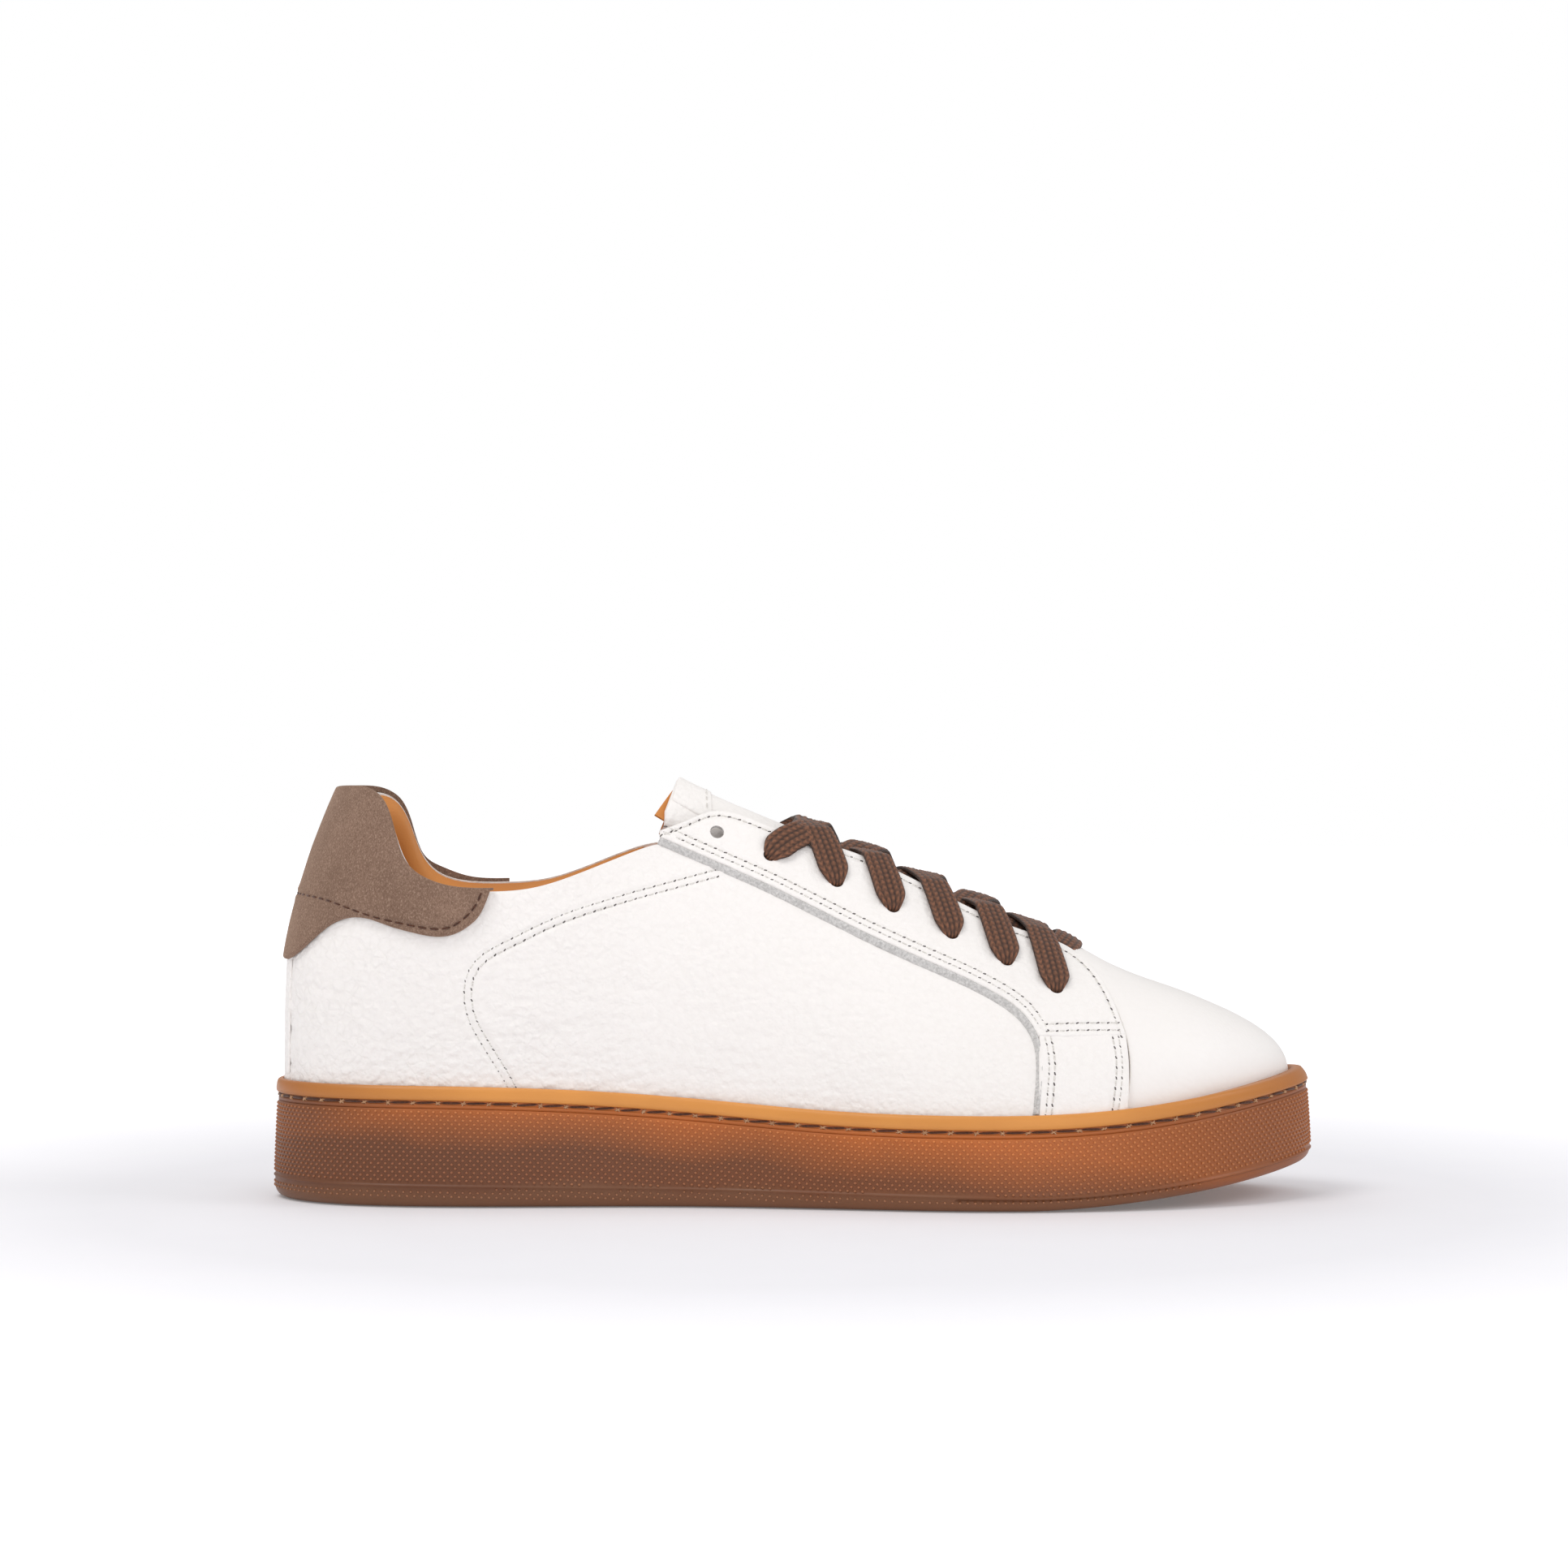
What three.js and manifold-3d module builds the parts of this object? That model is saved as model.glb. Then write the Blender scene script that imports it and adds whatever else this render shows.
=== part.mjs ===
// Low leather court shoe (right foot): cupsole, lasted upper, laced throat and hinged tongue.
// Millimetres. +X runs heel to toe, -Y is the lateral side, +Z is up, the sole rests on Z = 0.
import * as THREE from "three";
import Module from "manifold-3d";
import { mergeVertices } from "three/addons/utils/BufferGeometryUtils.js";

const wasm = await Module();
wasm.setup();

// ---------------------------------------------------------------- driving dimensions

// Sole edge in plan, heel centre -> lateral side -> toe tip -> medial side. 300 mm long.
const SOLE_EDGE = [
  [-150, -1], [-142, -21], [-120, -34.5], [-82, -38], [-36, -37], [8, -43], [48, -50],
  [88, -47], [121, -34], [143, -13], [150, 7], [144, 26], [124, 40], [92, 48.1],
  [55, 49.6], [14, 41], [-28, 33], [-72, 32.5], [-116, 32], [-141, 19],
];

// Height of the top of the sole's edge against X.
const SOLE_TOP = [
  [-150, 34], [-118, 34], [-63, 32.8], [-27, 30.3], [9, 27.5], [45, 26.6], [81, 27.3],
  [108, 30], [127, 33], [150, 37],
];

// Crest of the lasted upper against X. Behind the tongue it is only the vault of the side walls.
const CREST = [
  [-150, 160], [-108, 160], [-80, 150], [-55, 137], [-32, 123.5], [-22, 118.6], [-2, 110.3],
  [18, 101.6], [35.6, 93.6], [52, 86.5], [67, 79.8], [76, 75], [84, 70.6], [92, 66.4],
  [103, 61.9], [114, 58.2], [125, 54], [144, 47], [150, 44.7],
];

// Exponents of the wall sections against X: across (plan) and up (height).
const SECTION_ACROSS = [
  [-150, 2.4], [-83, 2.4], [-40, 2], [0, 1.9], [60, 1.8], [85, 2], [100, 2.4], [125, 4], [144, 8],
];
const SECTION_UP = [
  [-150, 2.5], [-83, 2.4], [-40, 1.6], [0, 1.4], [60, 1.25], [85, 1.5], [110, 2], [144, 3],
];

const HEEL_AXIS_X = -108;      // sections fan out behind this line
const TOE_AXIS_X = 76;         // and in front of this one
const RIDGE_Y = 3;             // the ridge leans to the medial side at the forefoot
const HEEL_LEAN = 9.8;         // how far the heel's back leans forward at its top
const LEAN_FROM_Z = 68;
const LEAN_HEIGHT = 50;
const TOE_SPRING = 10;         // the toe tip's clearance above the ground
const SPRING_FROM_X = 65;
const SPRING_POWER = 1.6;
const TOE_TIP_X = 150;
const MARGIN_HEEL = 3.2;       // ledge of the sole outside the upper
const MARGIN_TOE = 6;
const FEATHER_DROP = 4;        // the upper reaches this far below the sole's top edge

const GAP = 0.4;               // clearance between touching pieces
const LEATHER = 1.2;
const LINING = 0.8;
const OVERLAY = [GAP + LEATHER, GAP];                 // offsets from the lasted surface
const TAB_OVERLAY = [GAP + LEATHER + 0.3, GAP + 0.3];
const SHELL = [0, -LEATHER];
const STIFFENER = [-1.75, -2.5];
const INNER_LINING = [-3.05, -3.05 - LINING];
const FACING = [-0.15, -1.1];
const TONGUE_TOP = -3.5;

const WELT_HEIGHT = 4;
const STITCH_BAND = 1.4;
const CUP_FLOOR = 5;
const BOARD = 2;
const FOOTBED = 4.2;
const FOOTBED_MARGIN = 6.4;    // from the lasted edge in to the footbed
const FEATHER_LIFT = 0.5;      // from the lasting board up to the upper's lower edge
const LOOP_POINTS = 64;        // points around each sole ring

// Lace holes of the lateral eyestay in side view (x, z), front to back. The last one is spare.
const LACE_HOLES = [
  [73.6, 60], [59.8, 67.7], [44.3, 75.2], [27.7, 82.8], [11.7, 90.1], [-7.1, 97.6], [-22.4, 104.2],
];
const HOLE_RADIUS = 3.1;
const LACE_WIDTH = 7.5;
const LACE_WIDTH_IN_HOLE = 3.4;
const LACE_THICKNESS = 1.3;

const COLOURS = {
  white: 0xf3efeb, tan: 0xdc964b, brown: 0x8a5a40, lace: 0x5c4238, suede: 0x7d695c,
  lining: 0xd78c3c, grey: 0xc8c8c8, foam: 0xe6d8b4, board: 0xb89a70, steel: 0x9a9ea2,
  filler: 0xd9d2c4,
};

// ---------------------------------------------------------------- curves and the lasted surface

// Natural cubic spline through [t, value] pairs.
function spline(points) {
  const n = points.length;
  const h = points.slice(1).map((p, i) => p[0] - points[i][0]);
  const slope = h.map((step, i) => (points[i + 1][1] - points[i][1]) / step);
  const upper = new Array(n).fill(0);
  const bend = new Array(n).fill(0);
  for (let i = 1; i < n - 1; i++) {
    const pivot = 2 * (h[i - 1] + h[i]) - h[i - 1] * upper[i - 1];
    upper[i] = h[i] / pivot;
    bend[i] = (3 * (slope[i] - slope[i - 1]) - h[i - 1] * bend[i - 1]) / pivot;
  }
  for (let i = n - 2; i > 0; i--) bend[i] -= upper[i] * bend[i + 1];
  return (t) => {
    let i = 0;
    while (i < n - 2 && t > points[i + 1][0]) i++;
    const d = Math.min(Math.max(t, points[0][0]), points[n - 1][0]) - points[i][0];
    const first = slope[i] - h[i] * (2 * bend[i] + bend[i + 1]) / 3;
    const third = (bend[i + 1] - bend[i]) / (3 * h[i]);
    return points[i][1] + d * (first + d * (bend[i] + d * third));
  };
}

// Smooth curve through side-view points, given back as k in 0..1 -> [x, z].
function sideCurve(points) {
  let length = 0;
  const at = points.map((p, i) => {
    if (i > 0) length += Math.hypot(p[0] - points[i - 1][0], p[1] - points[i - 1][1]);
    return length;
  });
  const xs = spline(points.map((p, i) => [at[i] / length, p[0]]));
  const zs = spline(points.map((p, i) => [at[i] / length, p[1]]));
  return (k) => [xs(k), zs(k)];
}

function smoothstep(from, to, value) {
  const k = Math.min(Math.max((value - from) / (to - from), 0), 1);
  return k * k * (3 - 2 * k);
}

const mix = (a, b, k) => a + (b - a) * k;

const WRAP = 4;                // points repeated at each end of the closed outline
const edgeCount = SOLE_EDGE.length;
const wrapped = Array.from({ length: edgeCount + 2 * WRAP + 1 }, (_, i) => {
  const index = i - WRAP;
  return [index / edgeCount, SOLE_EDGE[(index + edgeCount) % edgeCount]];
});
const edgeX = spline(wrapped.map(([t, p]) => [t, p[0]]));
const edgeY = spline(wrapped.map(([t, p]) => [t, p[1]]));
const soleTop = spline(SOLE_TOP);
const crest = spline(CREST);
const across = spline(SECTION_ACROSS);
const up = spline(SECTION_UP);

// Ground clearance of the sole at x.
function soleBottom(x) {
  const k = Math.max(0, (x - SPRING_FROM_X) / (TOE_TIP_X - SPRING_FROM_X));
  return TOE_SPRING * k ** SPRING_POWER;
}

// Point of the sole's outline at turn t (0 heel centre, 0.5 toe tip), moved inward by inset.
function edge(t, inset = 0) {
  const wrapT = t - Math.floor(t);
  const step = 1e-3;
  const dx = edgeX(wrapT + step) - edgeX(wrapT - step);
  const dy = edgeY(wrapT + step) - edgeY(wrapT - step);
  const length = Math.hypot(dx, dy);
  return [edgeX(wrapT) - (dy / length) * inset, edgeY(wrapT) + (dx / length) * inset];
}

const margin = (x) => mix(MARGIN_HEEL, MARGIN_TOE, smoothstep(60, 145, x));
const spineY = (x) => RIDGE_Y * smoothstep(-60, TOE_AXIS_X, x);

// Section of unit width and height at polar angle a: ratio ** p + height ** q = 1.
function section(a, p, q) {
  let r = 1.5;
  for (let i = 0; i < 12; i++) {
    const wide = (r * Math.cos(a)) ** p;
    const high = (r * Math.sin(a)) ** q;
    r -= (wide + high - 1) * r / (p * wide + q * high);
  }
  return [r * Math.cos(a), r * Math.sin(a)];
}

// Lasted surface: turn t round the shoe, angle a from 0 at the feather edge to PI / 2 at the crest.
function lasted(t, a) {
  const [px, py] = edge(t, margin(edge(t)[0]));
  const cx = Math.min(Math.max(px, HEEL_AXIS_X), TOE_AXIS_X);
  const cy = spineY(cx);
  const [ratio, height] = section(a, across(px), up(px));
  const x = cx + ratio * (px - cx);
  const y = cy + ratio * (py - cy);
  const base = soleTop(px) - FEATHER_DROP;
  const z = base + (crest(x) - base) * height;
  const rise = Math.max(0, (z - LEAN_FROM_Z) / LEAN_HEIGHT);
  const lean = HEEL_LEAN * rise ** 1.25 * smoothstep(-60, -140, px);
  return new THREE.Vector3(x + lean, y, z);
}

const FLAT = 0.004;            // the surface is never evaluated closer to its ends than this
function onSurface(t, a, offset) {
  const angle = Math.min(Math.max(a, FLAT), Math.PI / 2 - FLAT);
  const e = FLAT / 2;
  const alongT = lasted(t + e, angle).sub(lasted(t - e, angle));
  const alongA = lasted(t, angle + e).sub(lasted(t, angle - e));
  const normal = alongT.cross(alongA).normalize();
  return lasted(t, angle).addScaledVector(normal, offset);
}

// Angle at which the section at turn t reaches height z.
function angleAt(t, z) {
  let low = FLAT;
  let high = Math.PI / 2 - FLAT;
  for (let i = 0; i < 24; i++) {
    const middle = (low + high) / 2;
    if (lasted(t, middle).z < z) low = middle;
    else high = middle;
  }
  return (low + high) / 2;
}

// Turn (0 heel .. 0.5 toe) and angle of the surface point seen from the side at (x, z).
function locate([x, z], medial = false) {
  const turn = (m) => (medial ? 1 - m : m);
  let low = 0;
  let high = 0.5;
  for (let i = 0; i < 24; i++) {
    const middle = (low + high) / 2;
    if (lasted(turn(middle), angleAt(turn(middle), z)).x < x) low = middle;
    else high = middle;
  }
  return [(low + high) / 2, angleAt(turn((low + high) / 2), z)];
}

// Turn at which the upper's edge is at x.
function turnAtX(x, medial = false) {
  let low = 0;
  let high = 0.5;
  for (let i = 0; i < 24; i++) {
    const middle = (low + high) / 2;
    const t = medial ? 1 - middle : middle;
    if (edge(t, margin(edge(t)[0]))[0] < x) low = middle;
    else high = middle;
  }
  return (low + high) / 2;
}

// ---------------------------------------------------------------- solids

function meshGeometry(points, faces) {
  const geometry = new THREE.BufferGeometry();
  const position = new Float32Array(points.flatMap((p) => [p.x, p.y, p.z]));
  geometry.setAttribute("position", new THREE.BufferAttribute(position, 3));
  geometry.setIndex(faces);
  geometry.computeVertexNormals();
  return geometry;
}

// Closed sheet of leather, foam or board: grid(k, m, offset) gives its points, offsets its faces.
function sheetSolid(grid, columns, rows, [outer, inner]) {
  const points = [];
  for (const offset of [outer, inner]) {
    for (let i = 0; i <= columns; i++) {
      for (let j = 0; j <= rows; j++) points.push(grid(i / columns, j / rows, offset));
    }
  }
  const layer = (columns + 1) * (rows + 1);
  const at = (i, j, side) => side * layer + i * (rows + 1) + j;
  const faces = [];
  const quad = (a, b, c, d) => faces.push(a, b, c, a, c, d);
  for (let i = 0; i < columns; i++) {
    for (let j = 0; j < rows; j++) {
      quad(at(i, j, 0), at(i + 1, j, 0), at(i + 1, j + 1, 0), at(i, j + 1, 0));
      quad(at(i, j, 1), at(i, j + 1, 1), at(i + 1, j + 1, 1), at(i + 1, j, 1));
    }
    quad(at(i, 0, 0), at(i, 0, 1), at(i + 1, 0, 1), at(i + 1, 0, 0));
    quad(at(i, rows, 0), at(i + 1, rows, 0), at(i + 1, rows, 1), at(i, rows, 1));
  }
  for (let j = 0; j < rows; j++) {
    quad(at(0, j, 0), at(0, j + 1, 0), at(0, j + 1, 1), at(0, j, 1));
    quad(at(columns, j, 0), at(columns, j, 1), at(columns, j + 1, 1), at(columns, j + 1, 0));
  }
  return meshGeometry(points, faces);
}

// Panel of the upper between a low and a high curve, each k -> [turn, angle].
function panel(low, high, columns, rows, offsets) {
  const grid = (k, m, offset) => {
    const [t0, a0] = low(k);
    const [t1, a1] = high(k);
    return onSurface(mix(t0, t1, m), mix(a0, a1, m), offset);
  };
  return sheetSolid(grid, columns, rows, offsets);
}

// Loops of points joined into one closed solid; the first and last loops are capped across.
function loftSolid(loops, capped) {
  const n = loops[0].length;
  const faces = [];
  const last = capped ? loops.length - 1 : loops.length;
  for (let ring = 0; ring < last; ring++) {
    const next = (ring + 1) % loops.length;
    for (let i = 0; i < n; i++) {
      const j = (i + 1) % n;
      const [a, b, c, d] = [ring * n + i, ring * n + j, next * n + j, next * n + i];
      faces.push(a, b, c, a, c, d);
    }
  }
  if (capped) {
    const top = (loops.length - 1) * n;
    const rung = (base, i, flip) => {
      const [a, b, c, d] = [i, i + 1, n - i - 1, n - i].map((k) => base + (k % n));
      const corners = i === 0 ? [[a, b, c]] : i === n / 2 - 1 ? [[a, b, d]] : [[a, b, c], [a, c, d]];
      for (const [p, q, r] of corners) faces.push(...(flip ? [p, r, q] : [p, q, r]));
    };
    for (let i = 0; i < n / 2; i++) {
      rung(top, i, false);
      rung(0, i, true);
    }
  }
  return meshGeometry(loops.flat(), faces);
}

// One loop round the sole, at an inset from its edge and at the height z(x).
function loop(inset, z) {
  return Array.from({ length: LOOP_POINTS }, (_, i) => {
    const t = i / LOOP_POINTS;
    const depth = typeof inset === "function" ? inset(edge(t)[0]) : inset;
    const [x, y] = edge(t, depth);
    return new THREE.Vector3(x, y, z(x));
  });
}

function toManifold(geometry) {
  const bare = geometry.clone();
  bare.deleteAttribute("normal");
  bare.deleteAttribute("uv");
  const merged = mergeVertices(bare, 1e-5);
  return new wasm.Manifold(new wasm.Mesh({
    numProp: 3,
    vertProperties: new Float32Array(merged.attributes.position.array),
    triVerts: new Uint32Array(merged.index.array),
  }));
}

function fromManifold(solid) {
  const { vertProperties, triVerts, numProp } = solid.getMesh();
  const points = [];
  for (let i = 0; i < vertProperties.length; i += numProp) {
    points.push(new THREE.Vector3().fromArray(vertProperties, i));
  }
  return meshGeometry(points, Array.from(triVerts));
}

const shoe = new THREE.Group();

function add(name, geometry, color, roughness = 0.7, metalness = 0) {
  const material = new THREE.MeshStandardMaterial({ color, roughness, metalness });
  const mesh = new THREE.Mesh(geometry, material);
  mesh.name = name;
  shoe.add(mesh);
}

// ---------------------------------------------------------------- sole and footbed

const raised = (lift) => (x) => soleTop(x) + lift;
const grounded = (lift) => (x) => soleBottom(x) + lift;
const WALL_CLEARANCE = 0.8;
const wallInside = (x) => margin(x) - WALL_CLEARANCE;
const RIM_INSET = 1;           // the sole's side leans in this much towards the welt
const CORNER = 3.5;            // rounding of the bottom corner

const stitchTop = -WELT_HEIGHT - GAP;
const stitchBottom = stitchTop - STITCH_BAND;
const cupTop = stitchBottom - GAP;
const boardTop = -FEATHER_DROP - FEATHER_LIFT;
const boardBottom = boardTop - BOARD;
const SHANK = { from: -95, to: 15, width: 14, thickness: 1.2, taper: 0.35, bend: 2 };
const shankTop = boardBottom - GAP;
const fillerTop = shankTop - SHANK.thickness - GAP;

function outsoleCup() {
  return loftSolid([
    loop(CORNER, grounded(0)),
    loop(CORNER / 3, grounded(CORNER / 3)),
    loop(0, grounded(CORNER)),
    loop(RIM_INSET, raised(cupTop)),
    loop(wallInside, raised(cupTop)),
    loop(wallInside, grounded(CUP_FLOOR)),
  ], true);
}

function plate(inset, bottom, top) {
  return loftSolid([loop(inset, bottom), loop(inset, top)], true);
}

function soleRing(bottom, top, outer, crown) {
  const loops = [loop(outer, raised(bottom))];
  if (crown) loops.push(loop(outer - 0.3, raised(top - crown)));
  loops.push(loop(outer + (crown ? 0.4 : 0), raised(top)));
  loops.push(loop(wallInside, raised(top)), loop(wallInside, raised(bottom)));
  return loftSolid(loops, false);
}

function shank() {
  const grid = (k, m, z) => {
    const x = mix(SHANK.from, SHANK.to, k);
    const width = SHANK.width * (1 - SHANK.taper * k);
    return new THREE.Vector3(x, (m - 0.5) * width - SHANK.bend * k, soleTop(x) + z);
  };
  return sheetSolid(grid, 8, 1, [shankTop, shankTop - SHANK.thickness]);
}

const footbedInset = (x) => margin(x) + FOOTBED_MARGIN;
const footbedBottom = boardTop + GAP;
const footbedTop = footbedBottom + FOOTBED;

add("outsole_cup", outsoleCup(), COLOURS.brown, 0.75);
const FIT = 0.2;               // filler and board either side of the lasted margin
const filler = plate((x) => margin(x) - FIT, grounded(CUP_FLOOR + GAP), raised(fillerTop));
const board = plate((x) => margin(x) + FIT, raised(boardBottom), raised(boardTop));
const coverBottom = footbedTop + GAP;
const cover = plate(footbedInset, raised(coverBottom), raised(coverBottom + LINING));
add("midsole_filler", filler, COLOURS.filler, 0.9);
add("shank", shank(), COLOURS.steel, 0.35, 1);
add("lasting_board", board, COLOURS.board, 0.9);
add("footbed_foam", plate(footbedInset, raised(footbedBottom), raised(footbedTop)), COLOURS.foam, 0.95);
add("footbed_cover", cover, COLOURS.lining, 0.85);
add("sidewall_stitching", soleRing(stitchBottom, stitchTop, RIM_INSET, 0), COLOURS.lace, 0.8);
add("welt_strip", soleRing(-WELT_HEIGHT, 0, RIM_INSET, 1.2), COLOURS.tan, 0.6);

// ---------------------------------------------------------------- upper panels

const SEAM = 0.0015;           // half width of the heel's back seam, as a turn
const QUARTER_FRONT_X = 79;
const VAMP_BACK_X = 81.5;
const APEX = Math.PI / 2 - 0.05;

// Top edge of the quarter in side view: heel, collar, then the shelf hidden under the eyestay.
const TOPLINE = [
  [-131.4, 116], [-124.8, 116.4], [-118.5, 114.6], [-113.5, 106], [-110, 97.5], [-105, 92],
  [-97, 89], [-86, 88.4], [-73, 89.6], [-59, 94.2], [-45, 99.8], [-38, 101.8], [-20, 96.4],
  [-4, 90], [18, 79], [40, 68.5], [56, 60.5], [66, 54], [78, 45],
];

// Outline of the heel tab in side view, heel centre to its front tip on the collar.
const TAB_TOP = [
  [-131.4, 117.2], [-124.8, 117.8], [-118, 116], [-113, 107], [-110, 98], [-105, 92.9],
  [-97, 90], [-85.5, 89.3],
];
const TAB_BOTTOM = [
  [-146.9, 68.3], [-143, 68.9], [-138.5, 73], [-131, 79.2], [-125.5, 80.4], [-113.6, 77.6],
  [-102, 75.4], [-93.5, 78], [-86.6, 86.8],
];

// Outline of the eyestay in side view, from its rear tip forward.
const EYESTAY_LOW = [
  [-38.4, 103], [-22, 95.8], [-6.4, 88.9], [17, 77.3], [40, 66.8], [57, 58.6], [64, 53.4], [67.8, 48.6],
];
const THROAT = [
  [-38.6, 105], [-31, 107.8], [-24, 110.2], [-15, 108.8], [-6, 105.2], [16, 98.2], [34, 90.2],
  [52, 81.2], [67, 75], [77, 71.4], [84, 66.2], [89, 58.4], [92.8, 48.6],
];
const FACING_TOP = [
  [-37.4, 104.6], [-31, 106.9], [-24, 109.2], [-15, 107.8], [-6, 104.2], [16, 97.2], [34, 89.2],
  [52, 80.2], [66, 74.2], [75.4, 71],
];
const FACING_LOW = [
  [-36.6, 103], [-20, 97.8], [-4, 91.4], [18, 80.4], [40, 70], [56, 62], [66, 55.6], [76, 47],
];

const featherAngle = (t, lift) => angleAt(t, soleTop(edge(t)[0]) - FEATHER_DROP + lift);

// Located side-view curve, as k -> [turn, angle]; medial copies run backwards to keep facing out.
function located(points, medial) {
  const curve = sideCurve(points);
  return (k) => {
    const [m, a] = locate(curve(medial ? 1 - k : k), medial);
    return [medial ? 1 - m : m, a];
  };
}

// Height of a side-view line as a function of the lateral (or medial) turn.
function lineHeight(points, medial) {
  return spline(points.map((p) => [locate(p, medial)[0], p[1]]));
}

const quarterTop = { lateral: lineHeight(TOPLINE, false), medial: lineHeight(TOPLINE, true) };

const HEEL_CROWDING = 1.25;   // columns stand closer together towards the tight curve of the heel

// Panel between the feather edge and a height line, over a range of turns of one side.
function wallPanel(medial, from, to, topHeight, columns, rows, offsets) {
  const turns = (k) => mix(from, to, (medial ? 1 - k : k) ** HEEL_CROWDING);
  const place = (m) => (medial ? 1 - m : m);
  const low = (k) => [place(turns(k)), featherAngle(place(turns(k)), FEATHER_LIFT)];
  const high = (k) => [place(turns(k)), angleAt(place(turns(k)), topHeight(turns(k)))];
  return panel(low, high, columns, rows, offsets);
}

// Panel that wraps the heel, with low and high heights given against the distance from its centre.
function heelPanel(limitX, lowAngle, highHeight, columns, rows, offsets) {
  const ends = [turnAtX(limitX, true), turnAtX(limitX, false)];
  const turn = (k) => mix(-ends[0], ends[1], k);
  const sideHeight = (t) => highHeight(Math.abs(t), t < 0 ? "medial" : "lateral");
  const low = (k) => [turn(k), lowAngle(turn(k), sideHeight(turn(k)))];
  const high = (k) => [turn(k), angleAt(turn(k), sideHeight(turn(k)))];
  return panel(low, high, columns, rows, offsets);
}

// Panel of the toe, fanned round the toe axis from the feather edge to the height rule.
function toePanel(backX, highAngle, columns, rows, offsets) {
  const ends = [turnAtX(backX, false), 1 - turnAtX(backX, true)];
  const turn = (k) => mix(ends[0], ends[1], k);
  const low = (k) => [turn(k), featherAngle(turn(k), FEATHER_LIFT)];
  const high = (k) => [turn(k), highAngle(turn(k))];
  return panel(low, high, columns, rows, offsets);
}

const PUFF_BACK_X = 112;
const PUFF_HEIGHT = 16;
const atApex = () => APEX;
const puffTop = (t) => featherAngle(t, PUFF_HEIGHT);
add("vamp", toePanel(VAMP_BACK_X, atApex, 24, 8, SHELL), COLOURS.white, 0.5);
add("toe_puff", toePanel(PUFF_BACK_X, puffTop, 16, 3, STIFFENER), COLOURS.board, 0.8);
add("vamp_lining", toePanel(VAMP_BACK_X, atApex, 20, 7, INNER_LINING), COLOURS.lining, 0.9);

const COUNTER_FRONT_X = -72;
const COUNTER_TOP = 70;
const COUNTER_FALL = { drop: 22, from: 0.09, to: 0.15 };   // its top comes down between these turns
const counterTop = (m) => COUNTER_TOP - COUNTER_FALL.drop * smoothstep(COUNTER_FALL.from, COUNTER_FALL.to, m);
const atFeather = (t) => featherAngle(t, FEATHER_LIFT);
const counter = heelPanel(COUNTER_FRONT_X, atFeather, counterTop, 20, 4, STIFFENER);
add("heel_counter", counter, COLOURS.board, 0.8);

const COLLAR_FRONT_X = -46;
const COLLAR_PAD_DEPTH = 16;
const COLLAR_PAD_BELOW = 1.5;   // from the topline down to the pad
const padFoot = (t, top) => angleAt(t, top - COLLAR_PAD_DEPTH);
const padTop = (m, side) => quarterTop[side](m) - COLLAR_PAD_BELOW;
add("collar_foam", heelPanel(COLLAR_FRONT_X, padFoot, padTop, 28, 2, STIFFENER), COLOURS.foam, 0.95);

const LINING_SPLIT_X = -44;
const LINING_SPLIT_GAP = 1.5;
const HEEL_LINING_BELOW = 0.5;
const heelLiningTop = (m, side) => quarterTop[side](m) - HEEL_LINING_BELOW;
const heelLining = heelPanel(LINING_SPLIT_X, atFeather, heelLiningTop, 30, 6, INNER_LINING);
add("heel_lining", heelLining, COLOURS.lining, 0.9);

const tabLines = {
  lateral: { top: lineHeight(TAB_TOP, false), bottom: lineHeight(TAB_BOTTOM, false) },
  medial: { top: lineHeight(TAB_TOP, true), bottom: lineHeight(TAB_BOTTOM, true) },
};
const tabSide = (t) => tabLines[t < 0 ? "medial" : "lateral"];
const tabFoot = (t) => angleAt(t, tabSide(t).bottom(Math.abs(t)));
const tabCrest = (m, side) => tabLines[side].top(m);
const tabFrontX = TAB_TOP[TAB_TOP.length - 1][0];
add("heel_tab", heelPanel(tabFrontX, tabFoot, tabCrest, 32, 5, TAB_OVERLAY), COLOURS.suede, 0.95);

const LINING_BELOW_EDGE = 15;
const LEG_TOP = [[68.4, 47.6], [80.5, 47.9], [92.9, 47.8]];
const LEG_FOOT = [[68.2, 27.7], [80, 28.1], [92.2, 29]];

for (const side of ["lateral", "medial"]) {
  const medial = side === "medial";
  const front = turnAtX(QUARTER_FRONT_X, medial);
  const quarter = wallPanel(medial, SEAM, front, quarterTop[side], 26, 5, SHELL);
  add(`quarter_${side}`, quarter, COLOURS.white, 0.5);
  const liningTop = (m) => quarterTop[side](m) - LINING_BELOW_EDGE;
  const liningBack = turnAtX(LINING_SPLIT_X + LINING_SPLIT_GAP, medial);
  const lining = wallPanel(medial, liningBack, front, liningTop, 9, 4, INNER_LINING);
  add(`quarter_lining_${side}`, lining, COLOURS.lining, 0.9);
  const leg = panel(located(LEG_FOOT, medial), located(LEG_TOP, medial), 3, 3, OVERLAY);
  add(`eyestay_leg_${side}`, leg, COLOURS.white, 0.5);
}

// ---------------------------------------------------------------- eyestays and their lace holes

const holes = {
  lateral: LACE_HOLES.map((p) => locate(p, false)),
  medial: LACE_HOLES.map((p) => locate(p, true)).map(([m, a]) => [1 - m, a]),
};
const HOLE_SIDES = 8;
const HOLE_REACH = 5;

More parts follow.
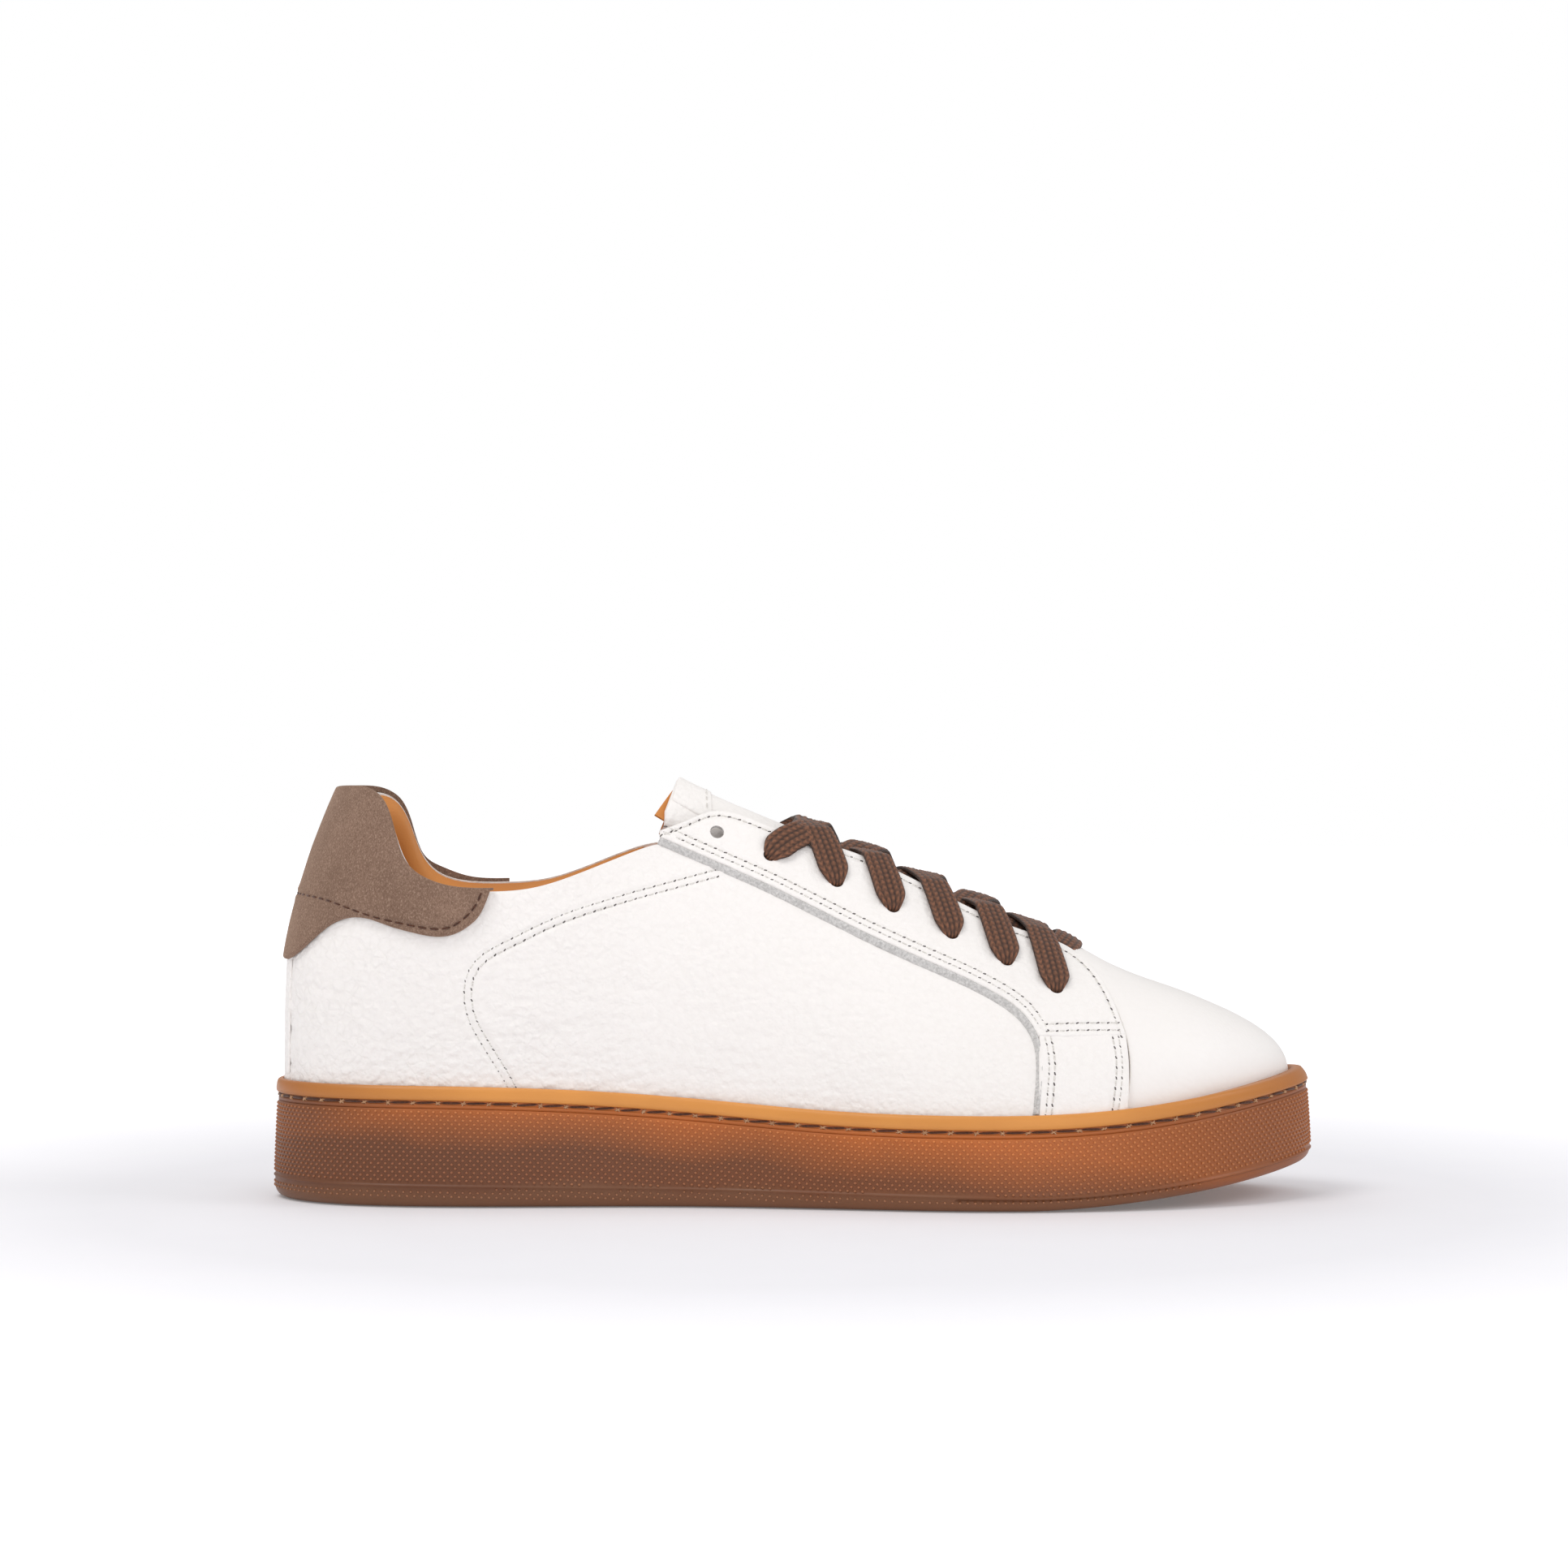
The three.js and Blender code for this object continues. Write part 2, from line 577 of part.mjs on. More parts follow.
function punched(geometry, side) {
  let solid = toManifold(geometry);
  for (const [t, a] of holes[side]) {
    const inside = onSurface(t, a, -HOLE_REACH);
    const axis = onSurface(t, a, HOLE_REACH).sub(inside).normalize();
    const punch = new THREE.CylinderGeometry(HOLE_RADIUS, HOLE_RADIUS, 2 * HOLE_REACH, HOLE_SIDES);
    punch.applyQuaternion(new THREE.Quaternion().setFromUnitVectors(new THREE.Vector3(0, 1, 0), axis));
    const centre = onSurface(t, a, 0);
    punch.translate(centre.x, centre.y, centre.z);
    solid = solid.subtract(toManifold(punch));
  }
  return fromManifold(solid);
}

for (const side of ["lateral", "medial"]) {
  const medial = side === "medial";
  const eyestay = panel(located(EYESTAY_LOW, medial), located(THROAT, medial), 20, 3, OVERLAY);
  add(`eyestay_${side}`, punched(eyestay, side), COLOURS.white, 0.5);
  const facing = panel(located(FACING_LOW, medial), located(FACING_TOP, medial), 16, 3, FACING);
  add(`eyestay_facing_${side}`, punched(facing, side), COLOURS.grey, 0.9);
}

// ---------------------------------------------------------------- tongue, hinged at the vamp

// Point over plan position (x, y) between the heel and toe axes, offset from the lasted surface.
function overPlan(x, y, offset) {
  const height = (px, py) => {
    const medial = py > spineY(px);
    const m = turnAtX(px, medial);
    const t = medial ? 1 - m : m;
    const halfWidth = Math.abs(edge(t, margin(px))[1] - spineY(px));
    const ratio = Math.min(Math.abs(py - spineY(px)) / halfWidth, 0.98);
    const base = soleTop(px) - FEATHER_DROP;
    return base + (crest(px) - base) * (1 - ratio ** across(px)) ** (1 / up(px));
  };
  const e = 0.5;
  const slopeX = (height(x + e, y) - height(x - e, y)) / (2 * e);
  const slopeY = (height(x, y + e) - height(x, y - e)) / (2 * e);
  const normal = new THREE.Vector3(-slopeX, -slopeY, 1).normalize();
  return { point: new THREE.Vector3(x, y, height(x, y)).addScaledVector(normal, offset), normal };
}

const TONGUE_FRONT_X = 73.5;
const TONGUE_REAR_X = -32;
const TONGUE_SWEEP = 4;        // its corners reach this much further back than its middle
const TONGUE_HALF_WIDTH = [[-32, 17], [-10, 19], [20, 20], [50, 16], [74, 10]];
const tongueWidth = spline(TONGUE_HALF_WIDTH);

function tongueLayer(from, to, share, columns, rows, offsets) {
  const grid = (k, m, offset) => {
    const w = (2 * m - 1) * share;
    const x = mix(from, to, k) - TONGUE_SWEEP * w * w * (1 - k);
    return overPlan(x, spineY(x) + w * tongueWidth(x), offset).point;
  };
  return sheetSolid(grid, columns, rows, offsets);
}

const TONGUE_FOAM = [-5, -8.4];
const TONGUE_LINING = [-8.8, -9.6];
const TONGUE_CAP = [-2.2, -3];
const CAP_FRONT_X = -23;
const TONGUE_LEATHER = [TONGUE_TOP, TONGUE_TOP - LEATHER];
const PAD_SHARE = 0.94;        // pad and lining are this much narrower than the leather
const CAP_SHARE = 0.62;
const padFrontX = TONGUE_FRONT_X - 2;
const tongueLeather = tongueLayer(TONGUE_REAR_X, TONGUE_FRONT_X, 1, 14, 6, TONGUE_LEATHER);
const tongueFoam = tongueLayer(TONGUE_REAR_X + 1, padFrontX, PAD_SHARE, 14, 6, TONGUE_FOAM);
const tongueLining = tongueLayer(TONGUE_REAR_X, padFrontX, PAD_SHARE, 14, 6, TONGUE_LINING);
const tongueCap = tongueLayer(TONGUE_REAR_X, CAP_FRONT_X, CAP_SHARE, 2, 4, TONGUE_CAP);
add("tongue_leather", tongueLeather, COLOURS.white, 0.5);
add("tongue_foam", tongueFoam, COLOURS.foam, 0.95);
add("tongue_lining", tongueLining, COLOURS.lining, 0.9);
add("tongue_cap", tongueCap, COLOURS.white, 0.5);

// ---------------------------------------------------------------- shoelace

const LACED_ROWS = 6;
const OUTSIDE = 2.9;           // lace centre above the eyestay
const UNDER = -2.15;           // lace centre between facing and tongue
const NEAR_EDGE = 2.7;         // as it passes the throat edge
const OVER_CROSSING = -0.35;   // the strand that crosses on top of the other
const CLEAR_OF_HOLE = 6;
const TAIL_LENGTH = 13;
const TAIL_SPREAD = 0.6;
// Shares of the way between the first row's two holes.
const BAR_STATIONS = [0.22, 0.3, 0.38, 0.46, 0.54, 0.62, 0.7, 0.78];
const BAR_BACK = 0.8;
const BAR_SPREAD = 0.7;
const EDGE_ON = 0.35;          // below this the strand runs along the normal and keeps its last side

// Lace stations: plan position, offset from the lasted surface, plan direction and width.
const plan = (side, row) => {
  const [t, a] = holes[side][row];
  const p = onSurface(t, a, 0);
  return new THREE.Vector2(p.x, p.y);
};

// Stations through one hole: u is the distance from it along the strand that leaves or reaches it.
const HOLE_PASS = [
  [CLEAR_OF_HOLE, UNDER, 1], [3.2, UNDER, 0.7], [1.3, -1.9, 0.15], [0, -0.6, 0], [0, 1.1, 0],
  [1.2, 2.6, 0.15], [3.2, OUTSIDE, 0.8], [CLEAR_OF_HOLE, OUTSIDE, 1],
];

function passHole(side, row, inward, outward, fromInside) {
  const centre = plan(side, row);
  const stations = HOLE_PASS.map(([u, offset, spread]) => {
    const along = offset < 0 ? inward : outward;
    return { at: centre.clone().addScaledVector(along, u), offset, spread };
  });
  return fromInside ? stations : stations.reverse();
}

function laceStations() {
  const toward = (a, b) => plan(...b).sub(plan(...a)).normalize();
  // One strand zigzags from the first row to the last, starting on the given side.
  const zigzag = (start, heights) => {
    const other = { lateral: "medial", medial: "lateral" };
    const strand = [];
    let side = start;
    let inward = new THREE.Vector2(0, start === "lateral" ? 1 : -1);
    for (let row = 0; row < LACED_ROWS - 1; row++) {
      const next = [other[side], row + 1];
      const ahead = toward([side, row], next);
      strand.push(...passHole(side, row, inward, ahead, true));
      const [a, b] = [plan(side, row), plan(...next)];
      const last = row === LACED_ROWS - 2;
      const far = last ? OUTSIDE : UNDER;
      const middle = [[0.2, OUTSIDE], [0.31, NEAR_EDGE], [0.4, heights[0]], [0.5, heights[1]]];
      middle.push([0.6, last ? heights[0] : heights[2]], [0.69, last ? NEAR_EDGE : far], [0.8, far]);
      for (const [k, offset] of middle) {
        strand.push({ at: a.clone().lerp(b, k), offset, spread: 1 });
      }
      side = next[0];
      inward = ahead.clone().negate();
    }
    const tail = new THREE.Vector2(-1, side === "lateral" ? -0.1 : 0.1).normalize();
    strand.push(...passHole(side, LACED_ROWS - 1, tail, inward, false));
    const tip = plan(side, LACED_ROWS - 1).addScaledVector(tail, TAIL_LENGTH);
    strand.push({ at: tip, offset: UNDER, spread: TAIL_SPREAD });
    return strand;
  };
  const over = zigzag("lateral", [1.1, OVER_CROSSING, -1.6]);
  const under = zigzag("medial", [0.3, UNDER, UNDER]);
  const bar = BAR_STATIONS.map((k) => {
    const at = plan("lateral", 0).lerp(plan("medial", 0), k).add(new THREE.Vector2(-BAR_BACK, 0));
    return { at, offset: UNDER, spread: BAR_SPREAD };
  });
  return [...over.reverse(), ...bar, ...under];
}

function laceGeometry(stations, width, thickness) {
  const placed = stations.map(({ at, offset, spread }) => ({ ...overPlan(at.x, at.y, offset), spread }));
  const loops = [];
  const side = new THREE.Vector3();
  placed.forEach(({ point, normal, spread }, i) => {
    const before = placed[Math.max(i - 1, 0)].point;
    const after = placed[Math.min(i + 1, placed.length - 1)].point;
    const tangent = after.clone().sub(before).normalize();
    const broad = normal.clone().cross(tangent);
    if (broad.length() > EDGE_ON) {
      if (broad.dot(side) < 0) broad.negate();
      side.copy(broad);
    }
    const across3 = side.clone().addScaledVector(tangent, -side.dot(tangent)).normalize();
    const flat = tangent.clone().cross(across3);
    const half = mix(LACE_WIDTH_IN_HOLE, width, spread) / 2;
    const corner = (u, v) => point.clone().addScaledVector(across3, u * half)
      .addScaledVector(flat, v * thickness / 2);
    loops.push([corner(1, 1), corner(-1, 1), corner(-1, -1), corner(1, -1)]);
  });
  return loftSolid(loops, true);
}

add("shoelace", laceGeometry(laceStations(), LACE_WIDTH, LACE_THICKNESS), COLOURS.lace, 0.9);

export default shoe;
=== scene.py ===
import math
import random

import bpy
import numpy as np
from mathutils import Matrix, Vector


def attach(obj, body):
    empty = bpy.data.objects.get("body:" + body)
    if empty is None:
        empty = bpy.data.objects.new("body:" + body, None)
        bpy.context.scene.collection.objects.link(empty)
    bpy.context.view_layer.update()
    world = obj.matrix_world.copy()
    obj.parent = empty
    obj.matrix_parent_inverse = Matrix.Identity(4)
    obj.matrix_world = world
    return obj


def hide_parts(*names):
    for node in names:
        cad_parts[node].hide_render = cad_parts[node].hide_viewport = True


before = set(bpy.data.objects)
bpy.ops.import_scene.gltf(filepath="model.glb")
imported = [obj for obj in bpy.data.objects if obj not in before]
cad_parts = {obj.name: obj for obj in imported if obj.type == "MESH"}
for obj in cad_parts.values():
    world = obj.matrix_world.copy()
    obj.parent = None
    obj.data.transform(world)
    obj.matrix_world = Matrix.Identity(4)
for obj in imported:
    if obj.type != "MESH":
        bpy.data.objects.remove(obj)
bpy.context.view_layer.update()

# Low leather court shoe. Lengths are millimetres; mesh_data() turns them into metres.
# +X runs from heel to toe, -Y is the lateral side, +Z is up.
# The upper's pieces lie on the CAD model's lasted surface.
MM = 0.001

# ---------------------------------------------------------------- driving dimensions

SOLE_EDGE = [
    (-150, -1), (-142, -21), (-120, -34.5), (-82, -38), (-36, -37), (8, -43), (48, -50),
    (88, -47), (121, -34), (143, -13), (150, 7), (144, 26), (124, 40), (92, 48.1),
    (55, 49.6), (14, 41), (-28, 33), (-72, 32.5), (-116, 32), (-141, 19),
]
SOLE_TOP = [
    (-150, 34), (-118, 34), (-63, 32.8), (-27, 30.3), (9, 27.5), (45, 26.6), (81, 27.3),
    (108, 30), (127, 33), (150, 37),
]
CREST = [
    (-150, 160), (-108, 160), (-80, 150), (-55, 137), (-32, 123.5), (-22, 118.6), (-2, 110.3),
    (18, 101.6), (35.6, 93.6), (52, 86.5), (67, 79.8), (76, 75), (84, 70.6), (92, 66.4),
    (103, 61.9), (114, 58.2), (125, 54), (144, 47), (150, 44.7),
]
SECTION_ACROSS = [
    (-150, 2.4), (-83, 2.4), (-40, 2), (0, 1.9), (60, 1.8), (85, 2), (100, 2.4), (125, 4), (144, 8),
]
SECTION_UP = [
    (-150, 2.5), (-83, 2.4), (-40, 1.6), (0, 1.4), (60, 1.25), (85, 1.5), (110, 2), (144, 3),
]
HEEL_AXIS_X, TOE_AXIS_X, RIDGE_Y = -108, 76, 3
HEEL_LEAN, LEAN_FROM_Z, LEAN_HEIGHT = 9.8, 68, 50
TOE_SPRING, SPRING_FROM_X, TOE_X = 10, 65, 150
MARGIN_HEEL, MARGIN_TOE = 3.2, 6
FEATHER_DROP = 4
GAP = 0.4

# ---------------------------------------------------------------- curves and the lasted surface


class Spline:
    """Natural cubic spline through (t, value) pairs, held flat outside them."""

    def __init__(self, points):
        self.t = np.array([p[0] for p in points], float)
        self.y = np.array([p[1] for p in points], float)
        n = len(points)
        h = np.diff(self.t)
        slope = np.diff(self.y) / h
        matrix = np.eye(n)
        right = np.zeros(n)
        for i in range(1, n - 1):
            matrix[i, i - 1:i + 2] = h[i - 1], 2 * (h[i - 1] + h[i]), h[i]
            right[i] = 3 * (slope[i] - slope[i - 1])
        bend = np.linalg.solve(matrix, right)
        self.bend = bend
        self.first = slope - h * (2 * bend[:-1] + bend[1:]) / 3
        self.third = (bend[1:] - bend[:-1]) / (3 * h)

    def __call__(self, t):
        t = np.clip(np.asarray(t, float), self.t[0], self.t[-1])
        i = np.clip(np.searchsorted(self.t, t, side="right") - 1, 0, len(self.t) - 2)
        d = t - self.t[i]
        return self.y[i] + d * (self.first[i] + d * (self.bend[i] + d * self.third[i]))


def smoothstep(low, high, value):
    k = np.clip((np.asarray(value, float) - low) / (high - low), 0, 1)
    return k * k * (3 - 2 * k)


def mix(a, b, k):
    return a + (b - a) * k


def unit(v):
    """Vectors of length one, along the last axis."""
    return v / np.linalg.norm(v, axis=-1, keepdims=True)


def run_along(points):
    """Distance run along a line of points, from the first one to each one."""
    return np.concatenate([[0], np.cumsum(np.linalg.norm(np.diff(points, axis=0), axis=1))])


WRAP, TURN_STEP = 4, 1e-3
edge_points = [((i - WRAP) / len(SOLE_EDGE), SOLE_EDGE[(i - WRAP) % len(SOLE_EDGE)])
               for i in range(len(SOLE_EDGE) + 2 * WRAP + 1)]
edge_x = Spline([(t, p[0]) for t, p in edge_points])
edge_y = Spline([(t, p[1]) for t, p in edge_points])
sole_top = Spline(SOLE_TOP)
crest = Spline(CREST)
across = Spline(SECTION_ACROSS)
up = Spline(SECTION_UP)


def sole_bottom(x):
    k = np.maximum(0, (np.asarray(x, float) - SPRING_FROM_X) / (TOE_X - SPRING_FROM_X))
    return TOE_SPRING * k ** 1.6


def edge(t, inset=0.0):
    """Sole outline at turn t (0 heel centre, 0.5 toe tip), moved inward by inset."""
    t = np.asarray(t, float) % 1.0
    dx = edge_x(t + TURN_STEP) - edge_x(t - TURN_STEP)
    dy = edge_y(t + TURN_STEP) - edge_y(t - TURN_STEP)
    length = np.hypot(dx, dy)
    return edge_x(t) - dy / length * inset, edge_y(t) + dx / length * inset


def margin(x):
    return mix(MARGIN_HEEL, MARGIN_TOE, smoothstep(60, 145, x))


def spine_y(x):
    return RIDGE_Y * smoothstep(-60, TOE_AXIS_X, x)


NEWTON_START, NEWTON_STEPS = 1.5, 12


def section(a, p, q):
    """Point of across^p + up^q = 1 at polar angle a, by Newton steps on the radius."""
    r = np.full(np.shape(a), NEWTON_START)
    cos, sin = np.maximum(np.cos(a), 0), np.maximum(np.sin(a), 0)
    for _ in range(NEWTON_STEPS):
        wide = (r * cos) ** p
        high = (r * sin) ** q
        r = r - (wide + high - 1) * r / (p * wide + q * high)
    return r * cos, r * sin


def lasted(t, a):
    """Point of the lasted surface at turn t and angle a, as an (..., 3) array."""
    t, a = np.broadcast_arrays(np.asarray(t, float), np.asarray(a, float))
    px, py = edge(t, margin(edge(t)[0]))
    cx = np.clip(px, HEEL_AXIS_X, TOE_AXIS_X)
    cy = spine_y(cx)
    ratio, height = section(a, across(px), up(px))
    x = cx + ratio * (px - cx)
    y = cy + ratio * (py - cy)
    base = sole_top(px) - FEATHER_DROP
    z = base + (crest(x) - base) * height
    rise = np.maximum(0, (z - LEAN_FROM_Z) / LEAN_HEIGHT)
    lean = HEEL_LEAN * rise ** 1.25 * smoothstep(60, 140, -px)
    return np.stack([x + lean, y, z], -1)


FLAT = 0.004  # how near the ends of its angle range the surface is still used


def surface(t, a, offset=0.0):
    """Point offset along the normal, and the normal."""
    a = np.clip(a, FLAT, math.pi / 2 - FLAT)
    e = FLAT / 2
    along_t = lasted(t + e, a) - lasted(t - e, a)
    along_a = lasted(t, a + e) - lasted(t, a - e)
    normal = unit(np.cross(along_t, along_a))
    return lasted(t, a) + normal * np.asarray(offset, float)[..., None], normal


def bisect(test, low, high, shape, steps=22):
    """Vectorised search for where test(value) turns from True (below) to False."""
    low, high = np.full(shape, float(low)), np.full(shape, float(high))
    for _ in range(steps):
        middle = (low + high) / 2
        below = test(middle)
        low = np.where(below, middle, low)
        high = np.where(below, high, middle)
    return (low + high) / 2


def angle_at(t, z):
    t, z = np.broadcast_arrays(np.asarray(t, float), np.asarray(z, float))
    return bisect(lambda a: lasted(t, a)[..., 2] < z, FLAT, math.pi / 2 - FLAT, t.shape)


def side_turn(m, medial):
    """Turn of the surface for a distance m from the heel centre (0) to the toe (0.5)."""
    return 1 - m if medial else m


def locate(x, z, medial=False):
    """(m, angle) of the surface point seen from the side at (x, z)."""
    x, z = np.broadcast_arrays(np.asarray(x, float), np.asarray(z, float))

    def behind(m):
        t = side_turn(m, medial)
        return lasted(t, angle_at(t, z))[..., 0] < x

    m = bisect(behind, 0, 0.5, x.shape)
    return m, angle_at(side_turn(m, medial), z)


def turn_at_x(x, medial=False):
    def behind(m):
        t = side_turn(m, medial)
        return edge(t, margin(edge(t)[0]))[0] < x

    return float(bisect(behind, 0, 0.5, ()))


def side_curve(points, count):
    """Smooth side-view curve through (x, z) points, as count evenly spaced samples."""
    points = np.array(points, float)
    run = run_along(points)
    at = run / run[-1]
    xs, zs = Spline(list(zip(at, points[:, 0]))), Spline(list(zip(at, points[:, 1])))
    k = np.linspace(0, 1, count)
    return xs(k), zs(k)


# ---------------------------------------------------------------- noise and mesh helpers


def hashed(cell, seed):
    """Repeatable pseudo-random 31-bit number for each integer (..., 3) cell."""
    x, y, z = np.moveaxis(cell, -1, 0)
    h = (x * 73856093) ^ (y * 19349663) ^ (z * 83492791) ^ (seed * 2654435761)
    return (h ^ (h >> 13)) * 1274126177 & 0x7fffffff


def value_noise(points, seed):
    """Smooth noise in 0..1 at each (..., 3) point, one cell per unit."""
    cell = np.floor(points).astype(np.int64)
    f = points - cell
    f = f * f * (3 - 2 * f)
    total = 0
    for corner in range(8):
        bits = np.array([corner & 1, corner >> 1 & 1, corner >> 2 & 1])
        h = hashed(cell + bits, seed)
        h = (h ^ (h >> 16)) & 0xffff
        total = total + np.prod(np.where(bits, f, 1 - f), axis=-1) * h / 0xffff
    return total


def cellular(points, seed):
    """Distance to the nearest of the points scattered one to a unit cell."""
    cell = np.floor(points).astype(np.int64)
    f = points - cell
    best = np.full(points.shape[:-1], 9.0)
    for corner in range(27):
        step = np.array([corner % 3 - 1, corner // 3 % 3 - 1, corner // 9 - 1])
        h = hashed(cell + step, seed)
        jitter = np.stack([h & 0x3ff, h >> 10 & 0x3ff, h >> 20 & 0x3ff], -1) / 0x3ff
        best = np.minimum(best, np.linalg.norm(step + jitter - f, axis=-1))
    return best


LACUNARITY = 2.1


def fractal(points, seed, octaves=3):
    """Value noise summed over octaves, in 0..1."""
    total, scale, weight, norm = 0, 1.0, 1.0, 0.0
    for i in range(octaves):
        total = total + weight * value_noise(points * scale, seed + i)
        norm += weight
        scale, weight = scale * LACUNARITY, weight * 0.5
    return total / norm


def mesh_data(name, points, faces, material):
    mesh = bpy.data.meshes.new(name)
    mesh.from_pydata([tuple(p) for p in (np.asarray(points) * MM).tolist()], [], faces)
    mesh.materials.append(material)
    return mesh


def new_mesh(name, points, faces, material, slot, body="shoe_body", replaces=(), keep_sharp=None):
    """Smooth-shaded piece of the shoe; edges sharper than keep_sharp degrees stay sharp."""
    mesh = mesh_data(name, points, faces, material)
    mesh.validate()
    mesh.shade_smooth()
    if keep_sharp:
        mesh.set_sharp_from_angle(angle=math.radians(keep_sharp))
    piece = bpy.data.objects.new(name, mesh)
    bpy.context.scene.collection.objects.link(piece)
    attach(piece, body)
    if replaces:
        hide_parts(*replaces)
    return piece


def grid_faces(rows, columns, base=0, flip=False):
    """Quads over a rows x columns array of points laid out row by row."""
    faces = []
    for i in range(rows - 1):
        a, b = base + i * columns, base + (i + 1) * columns
        for j in range(columns - 1):
            quad = (a + j, b + j, b + j + 1, a + j + 1)
            faces.append(quad[::-1] if flip else quad)
    return faces


def sheet_mesh(outer, inner):
    """Closed sheet from two (columns, rows, 3) grids; outer faces along d(column) x d(row)."""
    columns, rows, _ = outer.shape
    points = np.concatenate([outer.reshape(-1, 3), inner.reshape(-1, 3)])
    size = columns * rows
    faces = grid_faces(columns, rows) + grid_faces(columns, rows, size, flip=True)
    bottom = [i * rows for i in range(columns)]
    right = [(columns - 1) * rows + j for j in range(rows)]
    top = [i * rows + rows - 1 for i in range(columns - 1, -1, -1)]
    left = list(range(rows - 1, -1, -1))
    rim = bottom[:-1] + right[:-1] + top[:-1] + left[:-1]
    faces += [(b, a, a + size, b + size) for a, b in zip(rim, rim[1:] + rim[:1])]
    return points, faces


EDGE_STEPS = (0, 0.12, 0.3, 0.6, 1.0, 1.6)


def spaced(length, step, minimum=4):
    """Positions 0..1 along a length, crowded at both ends for a rounded edge."""
    near = np.array(EDGE_STEPS) / length
    count = max(minimum, int((length - 2 * EDGE_STEPS[-1]) / step))
    middle = np.linspace(near[-1], 1 - near[-1], count + 1)[1:-1]
    return np.concatenate([near, middle, 1 - near[::-1]])


def distances(points, line):
    """Distance of each point to a line given as close samples."""
    flat = points.reshape(-1, 3)
    middle = flat.mean(0)
    p, q = flat - middle, line - middle
    squares = (p ** 2).sum(1)[:, None] + (q ** 2).sum(1) - 2 * p @ q.T
    return np.sqrt(np.maximum(squares.min(1), 0)).reshape(points.shape[:-1])


RELIEF_FADE, LEAST_THICKNESS = 1.5, 0.15
LEAST_HEIGHT, LEAST_ROWS_HEIGHT, CURVE_SAMPLES = 4.5, 6, 300


class Patch:
    """Leather panel: grid of turns and angles between a low and a high curve."""

    def __init__(self, low, high, step=1.0):
        k = np.linspace(0, 1, CURVE_SAMPLES)
        runs = [run_along(surface(*curve(k))[0]) for curve in (low, high)]
        length = sum(runs) / 2
        self.width = max(run[-1] for run in runs)
        columns = spaced(self.width, step)
        at = np.interp(columns * length[-1], length, k)
        t0, a0 = low(at)
        t1, a1 = high(at)
        heights = np.linalg.norm(surface(t0, a0)[0] - surface(t1, a1)[0], axis=1)
        self.height = np.maximum(heights, LEAST_HEIGHT)[:, None]
        base = spaced(max(heights.max(), LEAST_ROWS_HEIGHT), step)
        grid = np.tile(base, (len(columns), 1))
        near = len(EDGE_STEPS)
        edge_rows = np.array(EDGE_STEPS) / self.height
        grid[:, :near] = edge_rows
        grid[:, -near:] = 1 - edge_rows[:, ::-1]
        inner = (base[near:-near] - base[near - 1]) / (1 - 2 * base[near - 1])
        grid[:, near:-near] = mix(edge_rows[:, -1:], 1 - edge_rows[:, -1:], inner)
        self.grid = grid
        self.t = mix(t0[:, None], t1[:, None], grid)
        self.a = mix(a0[:, None], a1[:, None], grid)
        self.base, self.normal = surface(self.t, self.a)
        across_edge = np.minimum(grid, 1 - grid) * self.height
        along_edge = (np.minimum(columns, 1 - columns) * self.width)[:, None]
        self.rim = np.minimum(across_edge, along_edge)
        self.below_top = (1 - grid) * self.height

    def build(self, name, outer, inner, material, slot, relief=None, rounding=0.7, **options):
        outer = np.broadcast_to(np.asarray(outer, float), self.t.shape)
        inner = np.broadcast_to(np.asarray(inner, float), self.t.shape)
        drop = np.clip(1 - self.rim / rounding, 0, 1)
        fall = rounding * (1 - np.sqrt(np.maximum(0, 1 - drop ** 2)))
        lift = outer
        if relief is not None:
            lift = lift + relief(self.base) * np.clip(self.rim / RELIEF_FADE, 0, 1)
        fall = np.minimum(fall, outer - inner - LEAST_THICKNESS)
        top = self.base + self.normal * (lift - fall)[..., None]
        under = self.base + self.normal * inner[..., None]
        return new_mesh(name, *sheet_mesh(top, under), material, slot, **options)


# ---------------------------------------------------------------- materials


def linear(r, g, b):
    """sRGB 0..255 as a linear RGBA colour."""
    def channel(v):
        v /= 255
        return v / 12.92 if v <= 0.04045 else ((v + 0.055) / 1.055) ** 2.4
    return (channel(r), channel(g), channel(b), 1.0)


MIX_FACTOR, MIX_VECTORS, MIX_COLORS = 0, (4, 5), (6, 7)  # socket numbers of the Mix node


